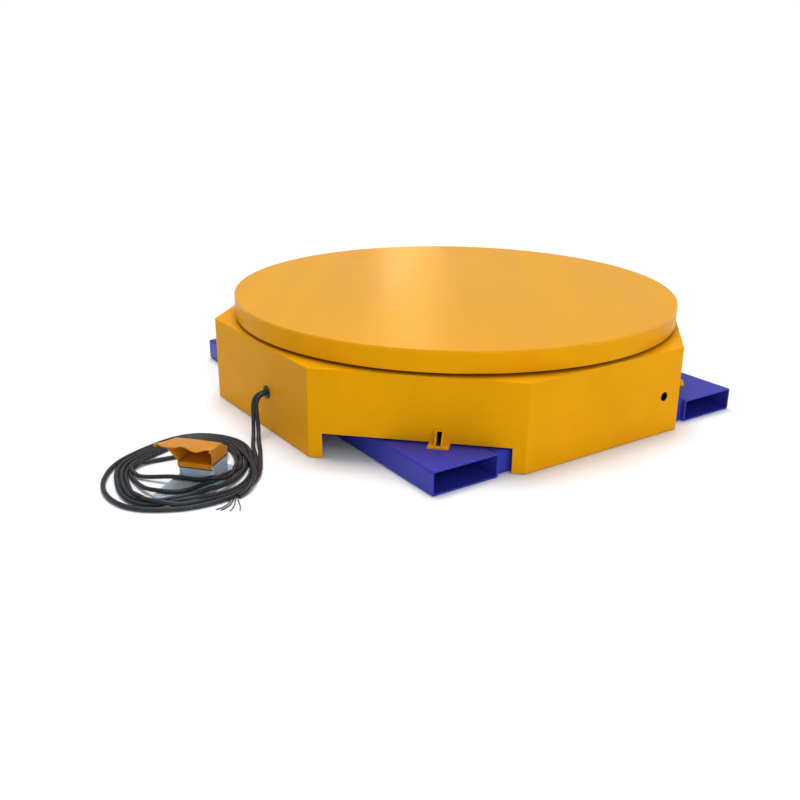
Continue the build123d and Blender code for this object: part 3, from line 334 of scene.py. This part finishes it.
def round_edges(piece, width, angle):
    """Rounds the edges that turn by more than angle."""
    modifier = piece.modifiers.new("round_edges", "BEVEL")
    modifier.width = width
    modifier.segments = 2
    modifier.limit_method = "ANGLE"
    modifier.angle_limit = angle


# ---------------------------------------------------------------- foot switch guard
FOOT_HEADING = math.radians(220.0)
FOOT_PLACE = Vector((-1.076, -0.297, 0.0))
AHEAD = Vector((math.cos(FOOT_HEADING), math.sin(FOOT_HEADING), 0.0))
ASIDE = Vector((-math.sin(FOOT_HEADING), math.cos(FOOT_HEADING), 0.0))
# the switch's sizes are in millimetres: along its toe direction, to its side, and up
HOUSING_REAR, HOUSING_FRONT, HOUSING_HALF = -64.0, 25.0, 50.0
GUARD_REAR, GUARD_MIDDLE, GUARD_FRONT = -64.5, 25.0, 88.0
ROOF_REAR, ROOF_LOW, ROOF_HIGH = -3.0, 120.0, 133.0
ROOF_CROWN = 1.5
GUARD_STATIONS = [GUARD_REAR, -58, -46, -32, -18, ROOF_REAR, 8, GUARD_MIDDLE, 28, 40, 50, 58, 65, 71, 77, 83,
                  GUARD_FRONT]
GUARD_FOOT, GUARD_SHOULDER = 64.0, 84.0
HALF_FOOT, HALF_REAR, HALF_FRONT = 50.0, 67.0, 81.0
LIP_WAVE, LIP_PITCH, LIP_FADE = 5.5, 74.0, 42.0
LIP_DROP, LIP_INSET = 5.0, 3.0         # of the walls' front corners, below and inside the roof's
WAVE_GROWTH = 1.5                      # how sharply the wave grows towards the lip
WAVE_FLOOR = -0.15                     # the wave's left trough is cut off at this share of its height
WALL_LEAN = 1.3                        # above 1, a wall leans out more near the roof
WALL_STEPS, ROOF_STEPS = 6, 16         # the roof's from its middle to each side
WALL_SWEEP = {-1: 3.0, 1: 1.5}       # how sharply each side wall sweeps up into the roof
GUARD_WALL = 3.0
GUARD_ROUND, GUARD_ROUND_ANGLE = 1.0, math.radians(40.0)
# painted shadow: a black band in the seam between housing and guard, on the sides and at the front
GAP_SHADE_PROUD, GAP_SHADE_LOW, GAP_SHADE_HIGH = 0.9, 60.6, 63.9
FRONT_SHADE_HALF, FRONT_SHADE_PROUD, FRONT_SHADE_LOW, FRONT_SHADE_HIGH = 49.0, 0.7, 47.6, 50.8


def foot_point(along, aside, height):
    """A point of the foot switch, given in millimetres along its toe direction, to its side, and up."""
    return FOOT_PLACE + AHEAD * along * MM + ASIDE * aside * MM + Vector((0, 0, height * MM))


def blend_between(value, start, end, first, last):
    """Runs from first to last while value runs from start to end, and stays there beyond."""
    share = min(1.0, max(0.0, (value - start) / (end - start)))
    return first + (last - first) * share


def guard_section(along):
    """Roof height, roof half width, and how far forward of the side walls' foot (0 to 1) a section lies."""
    if along < ROOF_REAR:
        roof = blend_between(along, GUARD_REAR, ROOF_REAR, GUARD_SHOULDER, ROOF_LOW)
        half = blend_between(along, GUARD_REAR, ROOF_REAR, HALF_FOOT, HALF_REAR)
    else:
        roof = blend_between(along, ROOF_REAR, GUARD_FRONT, ROOF_LOW, ROOF_HIGH)
        half = blend_between(along, ROOF_REAR, GUARD_FRONT, HALF_REAR, HALF_FRONT)
    return roof, half, blend_between(along, GUARD_MIDDLE, GUARD_FRONT, 0.0, 1.0)


def make_guard():
    """The foot switch's guard: one bent and dished sheet, open to the front, with a waved lip."""
    across = [k / ROOF_STEPS for k in range(-ROOF_STEPS, ROOF_STEPS + 1)]
    points, rows = [], []
    for along in GUARD_STATIONS:
        roof, half, forward = guard_section(along)
        wave = LIP_WAVE * blend_between(along, GUARD_FRONT - LIP_FADE, GUARD_FRONT, 0.0, 1.0) ** WAVE_GROWTH
        row = []
        for side in (-1, 1):
            swept = 1 - (1 - forward) ** WALL_SWEEP[side]
            low = GUARD_FOOT + (ROOF_HIGH - LIP_DROP - GUARD_FOOT) * swept
            low_half = HALF_FOOT + (HALF_FRONT - LIP_INSET - HALF_FOOT) * swept
            wall = []
            for step in range(WALL_STEPS):
                rise = step / WALL_STEPS
                aside = side * (low_half + (half - low_half) * rise ** WALL_LEAN)
                wall.append((along, aside, low + (roof - low) * rise))
            row.append(wall)
        top = []
        for share in across:
            aside = share * half
            crown = ROOF_CROWN * (1 - share ** 2)
            ripple = math.cos(2 * math.pi * aside / LIP_PITCH)
            if aside < -LIP_PITCH / 4:
                ripple = max(ripple, WAVE_FLOOR)
            top.append((along, aside, roof + crown + wave * ripple))
        line = row[0] + top + row[1][::-1]
        rows.append(range(len(points), len(points) + len(line)))
        points += line
    faces = []
    for a, b in zip(rows, rows[1:]):
        faces += [(a[i], a[i + 1], b[i + 1], b[i]) for i in range(len(a) - 1)]
    count = len(rows[0])
    first = rows[0]
    for step in range(WALL_STEPS):
        left, right = first[step], first[count - 1 - step]
        if step + 1 < WALL_STEPS:
            faces.append((left, right, first[count - 2 - step], first[step + 1]))
    shoulder = [first[i] for i in range(WALL_STEPS - 1, count - WALL_STEPS + 1)]
    faces.append(tuple(shoulder))
    piece = mesh_piece("guard_shell", [foot_point(*p) for p in points], faces, "switch_orange")
    tidy = bmesh.new()
    tidy.from_mesh(piece.data)
    bmesh.ops.recalc_face_normals(tidy, faces=tidy.faces)
    tidy.to_mesh(piece.data)
    tidy.free()
    thick = piece.modifiers.new("sheet", "SOLIDIFY")
    thick.thickness = GUARD_WALL * MM
    thick.offset = -1.0
    round_edges(piece, GUARD_ROUND * MM, GUARD_ROUND_ANGLE)
    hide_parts("foot_switch_guard")


def make_gap_shade():
    """A black band round the housing just under the guard, on three sides: painted shadow in the seam between
    them.
    """
    length = (HOUSING_REAR, HOUSING_FRONT)
    height = (GAP_SHADE_LOW, GAP_SHADE_HIGH)
    proud = HOUSING_HALF + GAP_SHADE_PROUD
    bars = [(length, (HOUSING_HALF, proud), height), (length, (-proud, -HOUSING_HALF), height),
            ((HOUSING_FRONT, HOUSING_FRONT + FRONT_SHADE_PROUD), (-FRONT_SHADE_HALF, FRONT_SHADE_HALF),
             (FRONT_SHADE_LOW, FRONT_SHADE_HIGH))]
    points, faces = [], []
    for along, aside, height in bars:
        first = len(points)
        points += [foot_point(a, b, h) for a in along for b in aside for h in height]
        faces += [tuple(first + k for k in face) for face in
                  ((0, 1, 3, 2), (4, 6, 7, 5), (0, 4, 5, 1), (2, 3, 7, 6), (0, 2, 6, 4), (1, 5, 7, 3))]
    mesh_piece("guard_gap_shade", points, faces, "black_rubber")


make_guard()
make_gap_shade()


# ---------------------------------------------------------------- cables
POWER_THICK = 0.013
PEDAL_THICK = 0.012
CORE_THICK = 0.0028
CORD_STEPS, CORD_SIDES = 6, 4          # how finely a cord is divided along its line and round it
COIL_CENTRE = Vector((-1.086, -0.216))
power_route = [
    (-0.758, -0.0614, 0.123),
    (-0.777, -0.0623, 0.122),
    (-0.794, -0.0665, 0.1115),
    (-0.8025, -0.0745, 0.0915),
    (-0.8055, -0.085, 0.066),
    (-0.8095, -0.098, 0.042),
    (-0.818, -0.117, 0.022),
    (-0.832, -0.145, 0.010),
    (-0.845, -0.177, 0.0075),
    (-0.855, -0.207, 0.007),
]
pedal_route = [
    (-0.758, -0.0486, 0.123),
    (-0.7775, -0.0493, 0.1225),
    (-0.796, -0.053, 0.113),
    (-0.8065, -0.061, 0.094),
    (-0.812, -0.0715, 0.069),
    (-0.818, -0.0845, 0.0445),
    (-0.828, -0.103, 0.0225),
    (-0.842, -0.129, 0.010),
    (-0.857, -0.157, 0.008),
    (-0.868, -0.186, 0.0075),
]
pedal_tail = [
    (-0.935, -0.138, 0.010),
    (-0.943, -0.166, 0.013),
    (-0.958, -0.193, 0.020),
    (-0.979, -0.215, 0.0255),
    (-1.0015, -0.2345, 0.027),
]
# the outermost loop as it lies, clockwise from beside the skirt, in millimetres
OUTLINE = [
    (-875, -201), (-894, -272), (-924, -342), (-960, -394), (-1001, -430), (-1045, -449), (-1097, -453),
    (-1144, -450), (-1203, -435), (-1238, -412), (-1274, -392), (-1300, -361), (-1318, -304), (-1320, -243),
    (-1313, -199), (-1277, -126), (-1234, -66), (-1195, -41), (-1149, -19), (-1108, -3), (-1056, 18),
    (-1014, 28), (-967, 23), (-923, -10), (-898, -40), (-875, -78), (-862, -133),
]
# the turns: degrees clockwise from the right, inset from the outline and height, in millimetres
POWER_TURNS = [
    (22, 4, 7), (57, 5, 7), (80, 8, 7), (105, 1, 7), (125, 2, 7), (145, 0, 7), (180, -1, 7), (230, 0, 7),
    (270, 0, 7), (330, 6, 7),
    (370, 18, 7), (417, 18, 7), (440, 22, 7), (465, 14, 8), (485, 16, 7), (500, 21, 7), (525, 34, 7),
    (548, 40, 7), (557, 36, 7), (572, 18, 7), (600, 14, 7), (640, 14, 7), (690, 19, 7),
    (735, 31, 7), (760, 44, 10), (780, 58, 18), (808, 57, 23), (827, 38, 23), (842, 28, 16), (858, 36, 10),
    (880, 50, 8), (898, 54, 7), (930, 32, 7), (960, 27, 7), (1000, 28, 7), (1050, 32, 7),
    (1085, 32, 10), (1108, 21, 20), (1128, 6, 19), (1146, -2, 10), (1158, -3, 7),
]
PEDAL_TURNS = [
    (14, 2, 19), (57, 11, 19), (90, 13, 19), (108, 8, 19), (125, 11, 18), (145, 40, 12), (178, 68, 7),
    (210, 47, 7), (240, 40, 7), (270, 40, 7), (320, 42, 7), (375, 45, 8), (400, 50, 14),
]
PEDAL_MIDDLE = [
    (560, 58, 8), (590, 54, 7), (630, 54, 7), (690, 57, 7), (725, 58, 9), (750, 62, 14),
]
# where the pedal cable cuts across the foot rest, then in front of the switch's housing, and round behind it
OVER_REST = [
    (-1.006, -0.330, 0.022), (-1.036, -0.337, 0.024), (-1.066, -0.345, 0.0225), (-1.100, -0.364, 0.0225),
    (-1.130, -0.380, 0.0225), (-1.158, -0.386, 0.0225), (-1.188, -0.371, 0.0225), (-1.212, -0.341, 0.021),
    (-1.227, -0.302, 0.014), (-1.229, -0.262, 0.009), (-1.228, -0.226, 0.007),
]
BEFORE_HOUSING = [
    (-1.000, -0.352, 0.020), (-1.024, -0.366, 0.026), (-1.050, -0.368, 0.026), (-1.084, -0.348, 0.024),
    (-1.114, -0.312, 0.023), (-1.139, -0.277, 0.022), (-1.158, -0.245, 0.016), (-1.182, -0.222, 0.010),
    (-1.210, -0.201, 0.008),
]
BEHIND_HOUSING = [
    (-1.231, -0.172, 0.012), (-1.228, -0.135, 0.010), (-1.205, -0.105, 0.0065), (-1.162, -0.094, 0.0065),
    (-1.120, -0.106, 0.0065), (-1.079, -0.116, 0.0065), (-1.030, -0.116, 0.0065), (-0.985, -0.108, 0.0065),
    (-0.950, -0.114, 0.0075),
]


TURN_STEP = 7.0                        # degrees between the points of a turn


def on_turns(keys):
    """Points along loose turns, inset from the outline: the inset and height run smoothly from key to key."""
    out = np.array(OUTLINE, float) - np.array(COIL_CENTRE) / MM
    bearing = np.degrees(-np.arctan2(out[:, 1], out[:, 0])) % 360
    order = np.argsort(bearing)
    angles = np.array([k[0] for k in keys], float)
    wanted = np.linspace(angles[0], angles[-1], int((angles[-1] - angles[0]) / TURN_STEP) + 1)
    radius = np.interp(wanted % 360, bearing[order], np.linalg.norm(out, axis=1)[order], period=360)

    def smooth(column):
        values = np.array([k[column] for k in keys], float)
        slope = np.gradient(values, angles)
        index = np.clip(np.searchsorted(angles, wanted) - 1, 0, len(angles) - 2)
        width = angles[index + 1] - angles[index]
        t = (wanted - angles[index]) / width
        return (values[index] * (1 + 2 * t) * (1 - t) ** 2 + values[index + 1] * t * t * (3 - 2 * t)
                + width * t * (1 - t) ** 2 * slope[index] - width * t * t * (1 - t) * slope[index + 1])

    radius, height = (radius - smooth(1)) * MM, smooth(2) * MM
    turn = np.radians(-wanted)
    return [(COIL_CENTRE.x + r * math.cos(a), COIL_CENTRE.y + r * math.sin(a), h)
            for r, a, h in zip(radius, turn, height)]


def smooth_cord(name, points, thickness, material):
    """A round cord along one smooth line, with these points as its control points."""
    curve = bpy.data.curves.new(name, "CURVE")
    curve.dimensions = "3D"
    curve.bevel_depth = thickness / 2
    curve.bevel_resolution = CORD_SIDES
    curve.use_fill_caps = True
    curve.resolution_u = CORD_STEPS
    spline = curve.splines.new("NURBS")
    spline.points.add(len(points) - 1)
    for control, point in zip(spline.points, points):
        control.co = (*point, 1.0)
    spline.order_u = 3
    spline.use_endpoint_u = True
    piece = bpy.data.objects.new(name, curve)
    scene.collection.objects.link(piece)
    curve.materials.append(material)
    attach(piece, "base")
    return piece


# the foot rest and the space that the housing takes, in millimetres
REST_FRONT, REST_REAR, REST_HALF, REST_CORNER, REST_TOP = 152.0, -96.5, 66.0, 26.0, 16.0
REST_SLOPE = 9.0                       # how far beside the rest a cord still leans on its edge
FRONT_CLEARANCE, SIDE_CLEARANCE = 7.0, 6.0
KEPT_MIDDLE = 6.0                      # the middle of the stretch that is kept clear of strands
KEPT_TOP = 0.07                        # in metres


def floor_under(x, y):
    """Height of what a cord lies on: the floor, or the foot rest of the switch."""
    away = Vector((x, y, 0)) - FOOT_PLACE
    along, aside = away.dot(AHEAD) / MM, away.dot(ASIDE) / MM
    past = abs(along - (REST_FRONT + REST_REAR) / 2) - (REST_FRONT - REST_REAR) / 2 + REST_CORNER
    beside = abs(aside) - REST_HALF + REST_CORNER
    outside = math.hypot(max(past, 0.0), max(beside, 0.0)) + min(max(past, beside), 0.0) - REST_CORNER
    return REST_TOP * MM * min(1.0, max(0.0, 1.0 - outside / REST_SLOPE))


def keep_out(line):
    """How far each point must move forward to clear the front wall of the switch's housing."""
    away = line[:, :2] - np.array(FOOT_PLACE)[:2]
    along, aside = away @ np.array(AHEAD)[:2] / MM, away @ np.array(ASIDE)[:2] / MM
    clear = HOUSING_FRONT + FRONT_CLEARANCE
    inside = (abs(along - KEPT_MIDDLE) < clear - KEPT_MIDDLE) & (abs(aside) < HOUSING_HALF + SIDE_CLEARANCE)
    inside &= line[:, 2] < KEPT_TOP
    return np.outer(np.where(inside, clear - along, 0) * MM, np.array(AHEAD))


# how the turns come to rest
ROUNDS = 220
LOOK_EVERY = 10                        # rounds between looks at which strands are near each other
SMOOTHING_ROUNDS = (ROUNDS - 50, ROUNDS - 25)
SMOOTHING_PASSES = 6
GROUND_PASSES = 40                     # how far a strand spans beside a step in the ground
NEAR = 0.025                           # strands nearer than this are compared
OWN_NEIGHBOURS = 6                     # points no further apart than this along one strand aren't compared
ROOM = 1.04                            # strands rest this many diameters apart
PUSH = 0.3                             # share of an overlap by which each strand gives way in a round
LIFT = 0.02                            # how strongly crossing strands go over each other
CROSSING_GAIN = 6
STIFFNESS = (0.5, 0.5, 0.3)            # along x, y and z
HOLD = 0.03                            # how strongly a strand stays on its wished line
SINK = 0.0003                          # how far a strand sinks in one round
FLOOR_GAP = 0.0002
LEVEL_STEP = 0.001                     # strands wished this much higher go on top


def smoothed(line, free):
    """The line with each free point drawn towards the middle of its neighbours."""
    for _ in range(SMOOTHING_PASSES):
        middle = line.copy()
        middle[1:-1] = (line[:-2] + line[1:-1] * 2 + line[2:]) / 4
        line = np.where(free[:, None], middle, line)
    return line


def settle(cords, held):
    """Lets the turns come to rest on each other and on the floor.

    Strands that meet are pushed a diameter apart: upwards where they cross, and sideways where they lie
    along each other.
    """
    line = np.concatenate([np.array(points, float) for points, _ in cords])
    owner = np.concatenate([np.full(len(points), n) for n, (points, _) in enumerate(cords)])
    thick = np.concatenate([np.full(len(points), t) for points, t in cords])
    order = np.arange(len(line))
    fixed = np.concatenate(held)
    wish = line.copy()
    same = np.zeros(len(line), bool)
    same[1:-1] = (owner[:-2] == owner[1:-1]) & (owner[2:] == owner[1:-1])
    for turn in range(ROUNDS):
        if turn % LOOK_EVERY == 0:
            apart = np.linalg.norm(line[:, None, :2] - line[None, :, :2], axis=2)
            far = (owner[:, None] != owner[None, :]) | (abs(order[:, None] - order[None, :]) > OWN_NEIGHBOURS)
            one, other = np.nonzero((apart < NEAR) & far & (order[:, None] < order[None, :]))
            ground = np.array([floor_under(x, y) for x, y, _ in line])
            for _ in range(GROUND_PASSES):
                span = ground.copy()
                span[1:-1] = (ground[:-2] + ground[2:]) / 2
                ground = np.where(same, np.maximum(ground, span), ground)
            along = np.gradient(line, axis=0)
            along /= np.linalg.norm(along, axis=1)[:, None] + 1e-9
            crossing = 1 - np.abs((along[one] * along[other]).sum(1)) ** 2
            level = np.where(wish[one, 2] > wish[other, 2] + LEVEL_STEP, 1.0, -1.0)
        gap = line[one] - line[other]
        steer = gap.copy()
        steer[:, 2] += level * np.minimum(1.0, crossing * CROSSING_GAIN) * LIFT
        steer /= np.linalg.norm(steer, axis=1)[:, None] + 1e-9
        wanted = (thick[one] + thick[other]) / 2 * ROOM
        short = np.maximum(0, wanted - np.linalg.norm(gap, axis=1))
        push = steer * (short * PUSH)[:, None]
        move = np.zeros_like(line)
        np.add.at(move, one, push)
        np.add.at(move, other, -push)
        bend = np.zeros_like(line)
        bend[1:-1] = (line[:-2] + line[2:]) / 2 - line[1:-1]
        bend[~same] = 0
        move += bend * STIFFNESS
        move[:, :2] += (wish[:, :2] - line[:, :2]) * HOLD
        move[:, 2] -= SINK
        move[fixed] = 0
        line = line + move
        if turn in SMOOTHING_ROUNDS:
            line = smoothed(line, same & ~fixed)
        line += keep_out(line) * ~fixed[:, None]
        low = ground + thick / 2 + FLOOR_GAP
        line[:, 2] = np.where(fixed, line[:, 2], np.maximum(line[:, 2], low))
    parts, start = [], 0
    for points, _ in cords:
        parts.append(line[start:start + len(points)])
        start += len(points)
    return parts


def dense(points, spacing):
    """The same line with evenly spaced points, for settling."""
    line = np.array(points, float)
    along = np.concatenate([[0], np.cumsum(np.linalg.norm(np.diff(line, axis=0), axis=1))])
    places = np.linspace(0, along[-1], int(along[-1] / spacing) + 2)
    return np.stack([np.interp(places, along, line[:, k]) for k in range(3)], axis=1)


FINE = 0.011                           # between the points of a strand while it settles
KEEP_EVERY = 2                         # of the settled points, those that the cord goes by
power_loose = dense(power_route[-2:] + on_turns(POWER_TURNS), FINE)
pedal_line = (pedal_route[-2:] + on_turns(PEDAL_TURNS) + OVER_REST + on_turns(PEDAL_MIDDLE)
              + BEFORE_HOUSING + BEHIND_HOUSING + pedal_tail[:2])
pedal_loose = dense(pedal_line, FINE)
held_power = np.zeros(len(power_loose), bool)
held_power[:2] = True
held_pedal = np.zeros(len(pedal_loose), bool)
held_pedal[:2] = True
held_pedal[-3:] = True
loose_cords = [(power_loose, POWER_THICK), (pedal_loose, PEDAL_THICK)]
power_set, pedal_set = settle(loose_cords, [held_power, held_pedal])
power_points = power_route[:-1] + [tuple(p) for p in power_set[2::KEEP_EVERY]]
pedal_points = pedal_route[:-1] + [tuple(p) for p in pedal_set[2:-3:KEEP_EVERY]] + pedal_tail[1:]


power_cable = smooth_cord("power_cable", power_points, POWER_THICK, MATERIALS["cable_sheath"])
pedal_cable = smooth_cord("pedal_cable", pedal_points, PEDAL_THICK, MATERIALS["cable_sheath"])
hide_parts("power_cable_run", "cable_coil")
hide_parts("pedal_cable_run", "pedal_cable_tail", "cable_coil")

# the stripped end of the supply cable: each core's colour, and its route in millimetres
core_routes = {
    "core_brown": ((0.060, 0.030, 0.022),
                   [(-1048, -445, 3.5), (-1062, -466, 2.5), (-1080, -482, 1.5), (-1103, -489, 1.5)]),
    "core_blue": ((0.022, 0.032, 0.085),
                  [(-1053, -443, 5), (-1069, -465, 4), (-1089, -478, 2), (-1112, -479, 1.5)]),
    "core_grey": ((0.085, 0.085, 0.09),
                  [(-1043.5, -446, 5), (-1056, -469, 3), (-1068, -491, 1.5), (-1086, -505, 1.5)]),
    "core_green": ((0.045, 0.070, 0.028),
                   [(-1039, -447, 3.5), (-1047, -472, 2), (-1053, -497, 1.5), (-1064, -517, 1.5)]),
}
for core_name, (core_colour, core_points) in core_routes.items():
    route = [(x * MM, y * MM, z * MM) for x, y, z in core_points]
    core = smooth_cord(core_name, route, CORE_THICK, plastic(core_name, core_colour, 0.35))
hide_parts("power_cable_conductors")


# ---------------------------------------------------------------- floor, world and light
FLOOR_HALF, FLOOR_DROP = 120.0, 0.0005
WORLD_LIGHT, WORLD_SEEN = 0.40, 1.0
KEY_TOWARDS, KEY_STRENGTH, KEY_SOFTNESS = (0.10, 0.22, 1.0), 2.35, 35.0
FILL_TOWARDS, FILL_STRENGTH, FILL_SOFTNESS = (-0.15, -0.93, 0.34), 1.15, 60.0
STRIP_PLACE, STRIP_WIDTH, STRIP_HEIGHT = (2.58, 4.07, 1.9), 0.40, 2.8
STRIP_POWER, STRIP_TINT = 7.5, (1.0, 0.58, 0.28)


def make_floor():
    m = Nodes("studio_floor")
    tone = m.ramp(m.noise(0.6, 2.0, 0.5), (0.3, (0.87, 0.88, 0.91)), (0.7, (0.89, 0.90, 0.93)))
    m.set(Base_Color=tone, Roughness=0.9)
    mesh = bpy.data.meshes.new("studio_floor")
    corners = [(x * FLOOR_HALF, y * FLOOR_HALF, -FLOOR_DROP) for x, y in ((-1, -1), (1, -1), (1, 1), (-1, 1))]
    mesh.from_pydata(corners, [], [(0, 1, 2, 3)])
    floor = bpy.data.objects.new("studio_floor", mesh)
    mesh.materials.append(m.material)
    scene.collection.objects.link(floor)


def make_world():
    """Even light from all round, and a plain white behind the object."""
    world = bpy.data.worlds.new("studio")
    world.use_nodes = True
    tree = world.node_tree
    tree.nodes.clear()
    seen = tree.nodes.new("ShaderNodeBackground")
    seen.inputs["Color"].default_value = (1, 1, 1, 1)
    seen.inputs["Strength"].default_value = WORLD_SEEN
    lit = tree.nodes.new("ShaderNodeBackground")
    lit.inputs["Color"].default_value = (1.0, 1.0, 1.0, 1)
    lit.inputs["Strength"].default_value = WORLD_LIGHT
    path = tree.nodes.new("ShaderNodeLightPath")
    mix = tree.nodes.new("ShaderNodeMixShader")
    out = tree.nodes.new("ShaderNodeOutputWorld")
    tree.links.new(path.outputs["Is Camera Ray"], mix.inputs["Fac"])
    tree.links.new(lit.outputs[0], mix.inputs[1])
    tree.links.new(seen.outputs[0], mix.inputs[2])
    tree.links.new(mix.outputs[0], out.inputs["Surface"])
    scene.world = world


def make_sun(name, towards, strength, softness):
    """A soft sun; towards is the direction from the object to the light."""
    sun = bpy.data.lights.new(name, "SUN")
    sun.energy = strength
    sun.angle = math.radians(softness)
    lamp = bpy.data.objects.new(name, sun)
    lamp.rotation_euler = Vector(towards).to_track_quat("Z", "Y").to_euler()
    scene.collection.objects.link(lamp)


def make_strip():
    """A tall warm strip light behind the deck: its reflection is the light band on the deck's paint."""
    strip = bpy.data.lights.new("strip", "AREA")
    strip.shape = "RECTANGLE"
    strip.size, strip.size_y = STRIP_WIDTH, STRIP_HEIGHT
    strip.energy = STRIP_POWER
    strip.color = STRIP_TINT
    lamp = bpy.data.objects.new("strip", strip)
    lamp.location = STRIP_PLACE
    away = Vector((CAMERA_PLACE[0] - STRIP_PLACE[0], CAMERA_PLACE[1] - STRIP_PLACE[1], 0.0))
    lamp.rotation_euler = away.to_track_quat("-Z", "Y").to_euler()
    lamp.visible_camera = False
    scene.collection.objects.link(lamp)


make_floor()
make_world()
make_sun("key", KEY_TOWARDS, KEY_STRENGTH, KEY_SOFTNESS)
make_sun("front_fill", FILL_TOWARDS, FILL_STRENGTH, FILL_SOFTNESS)
make_strip()
scene.view_settings.view_transform = "Standard"
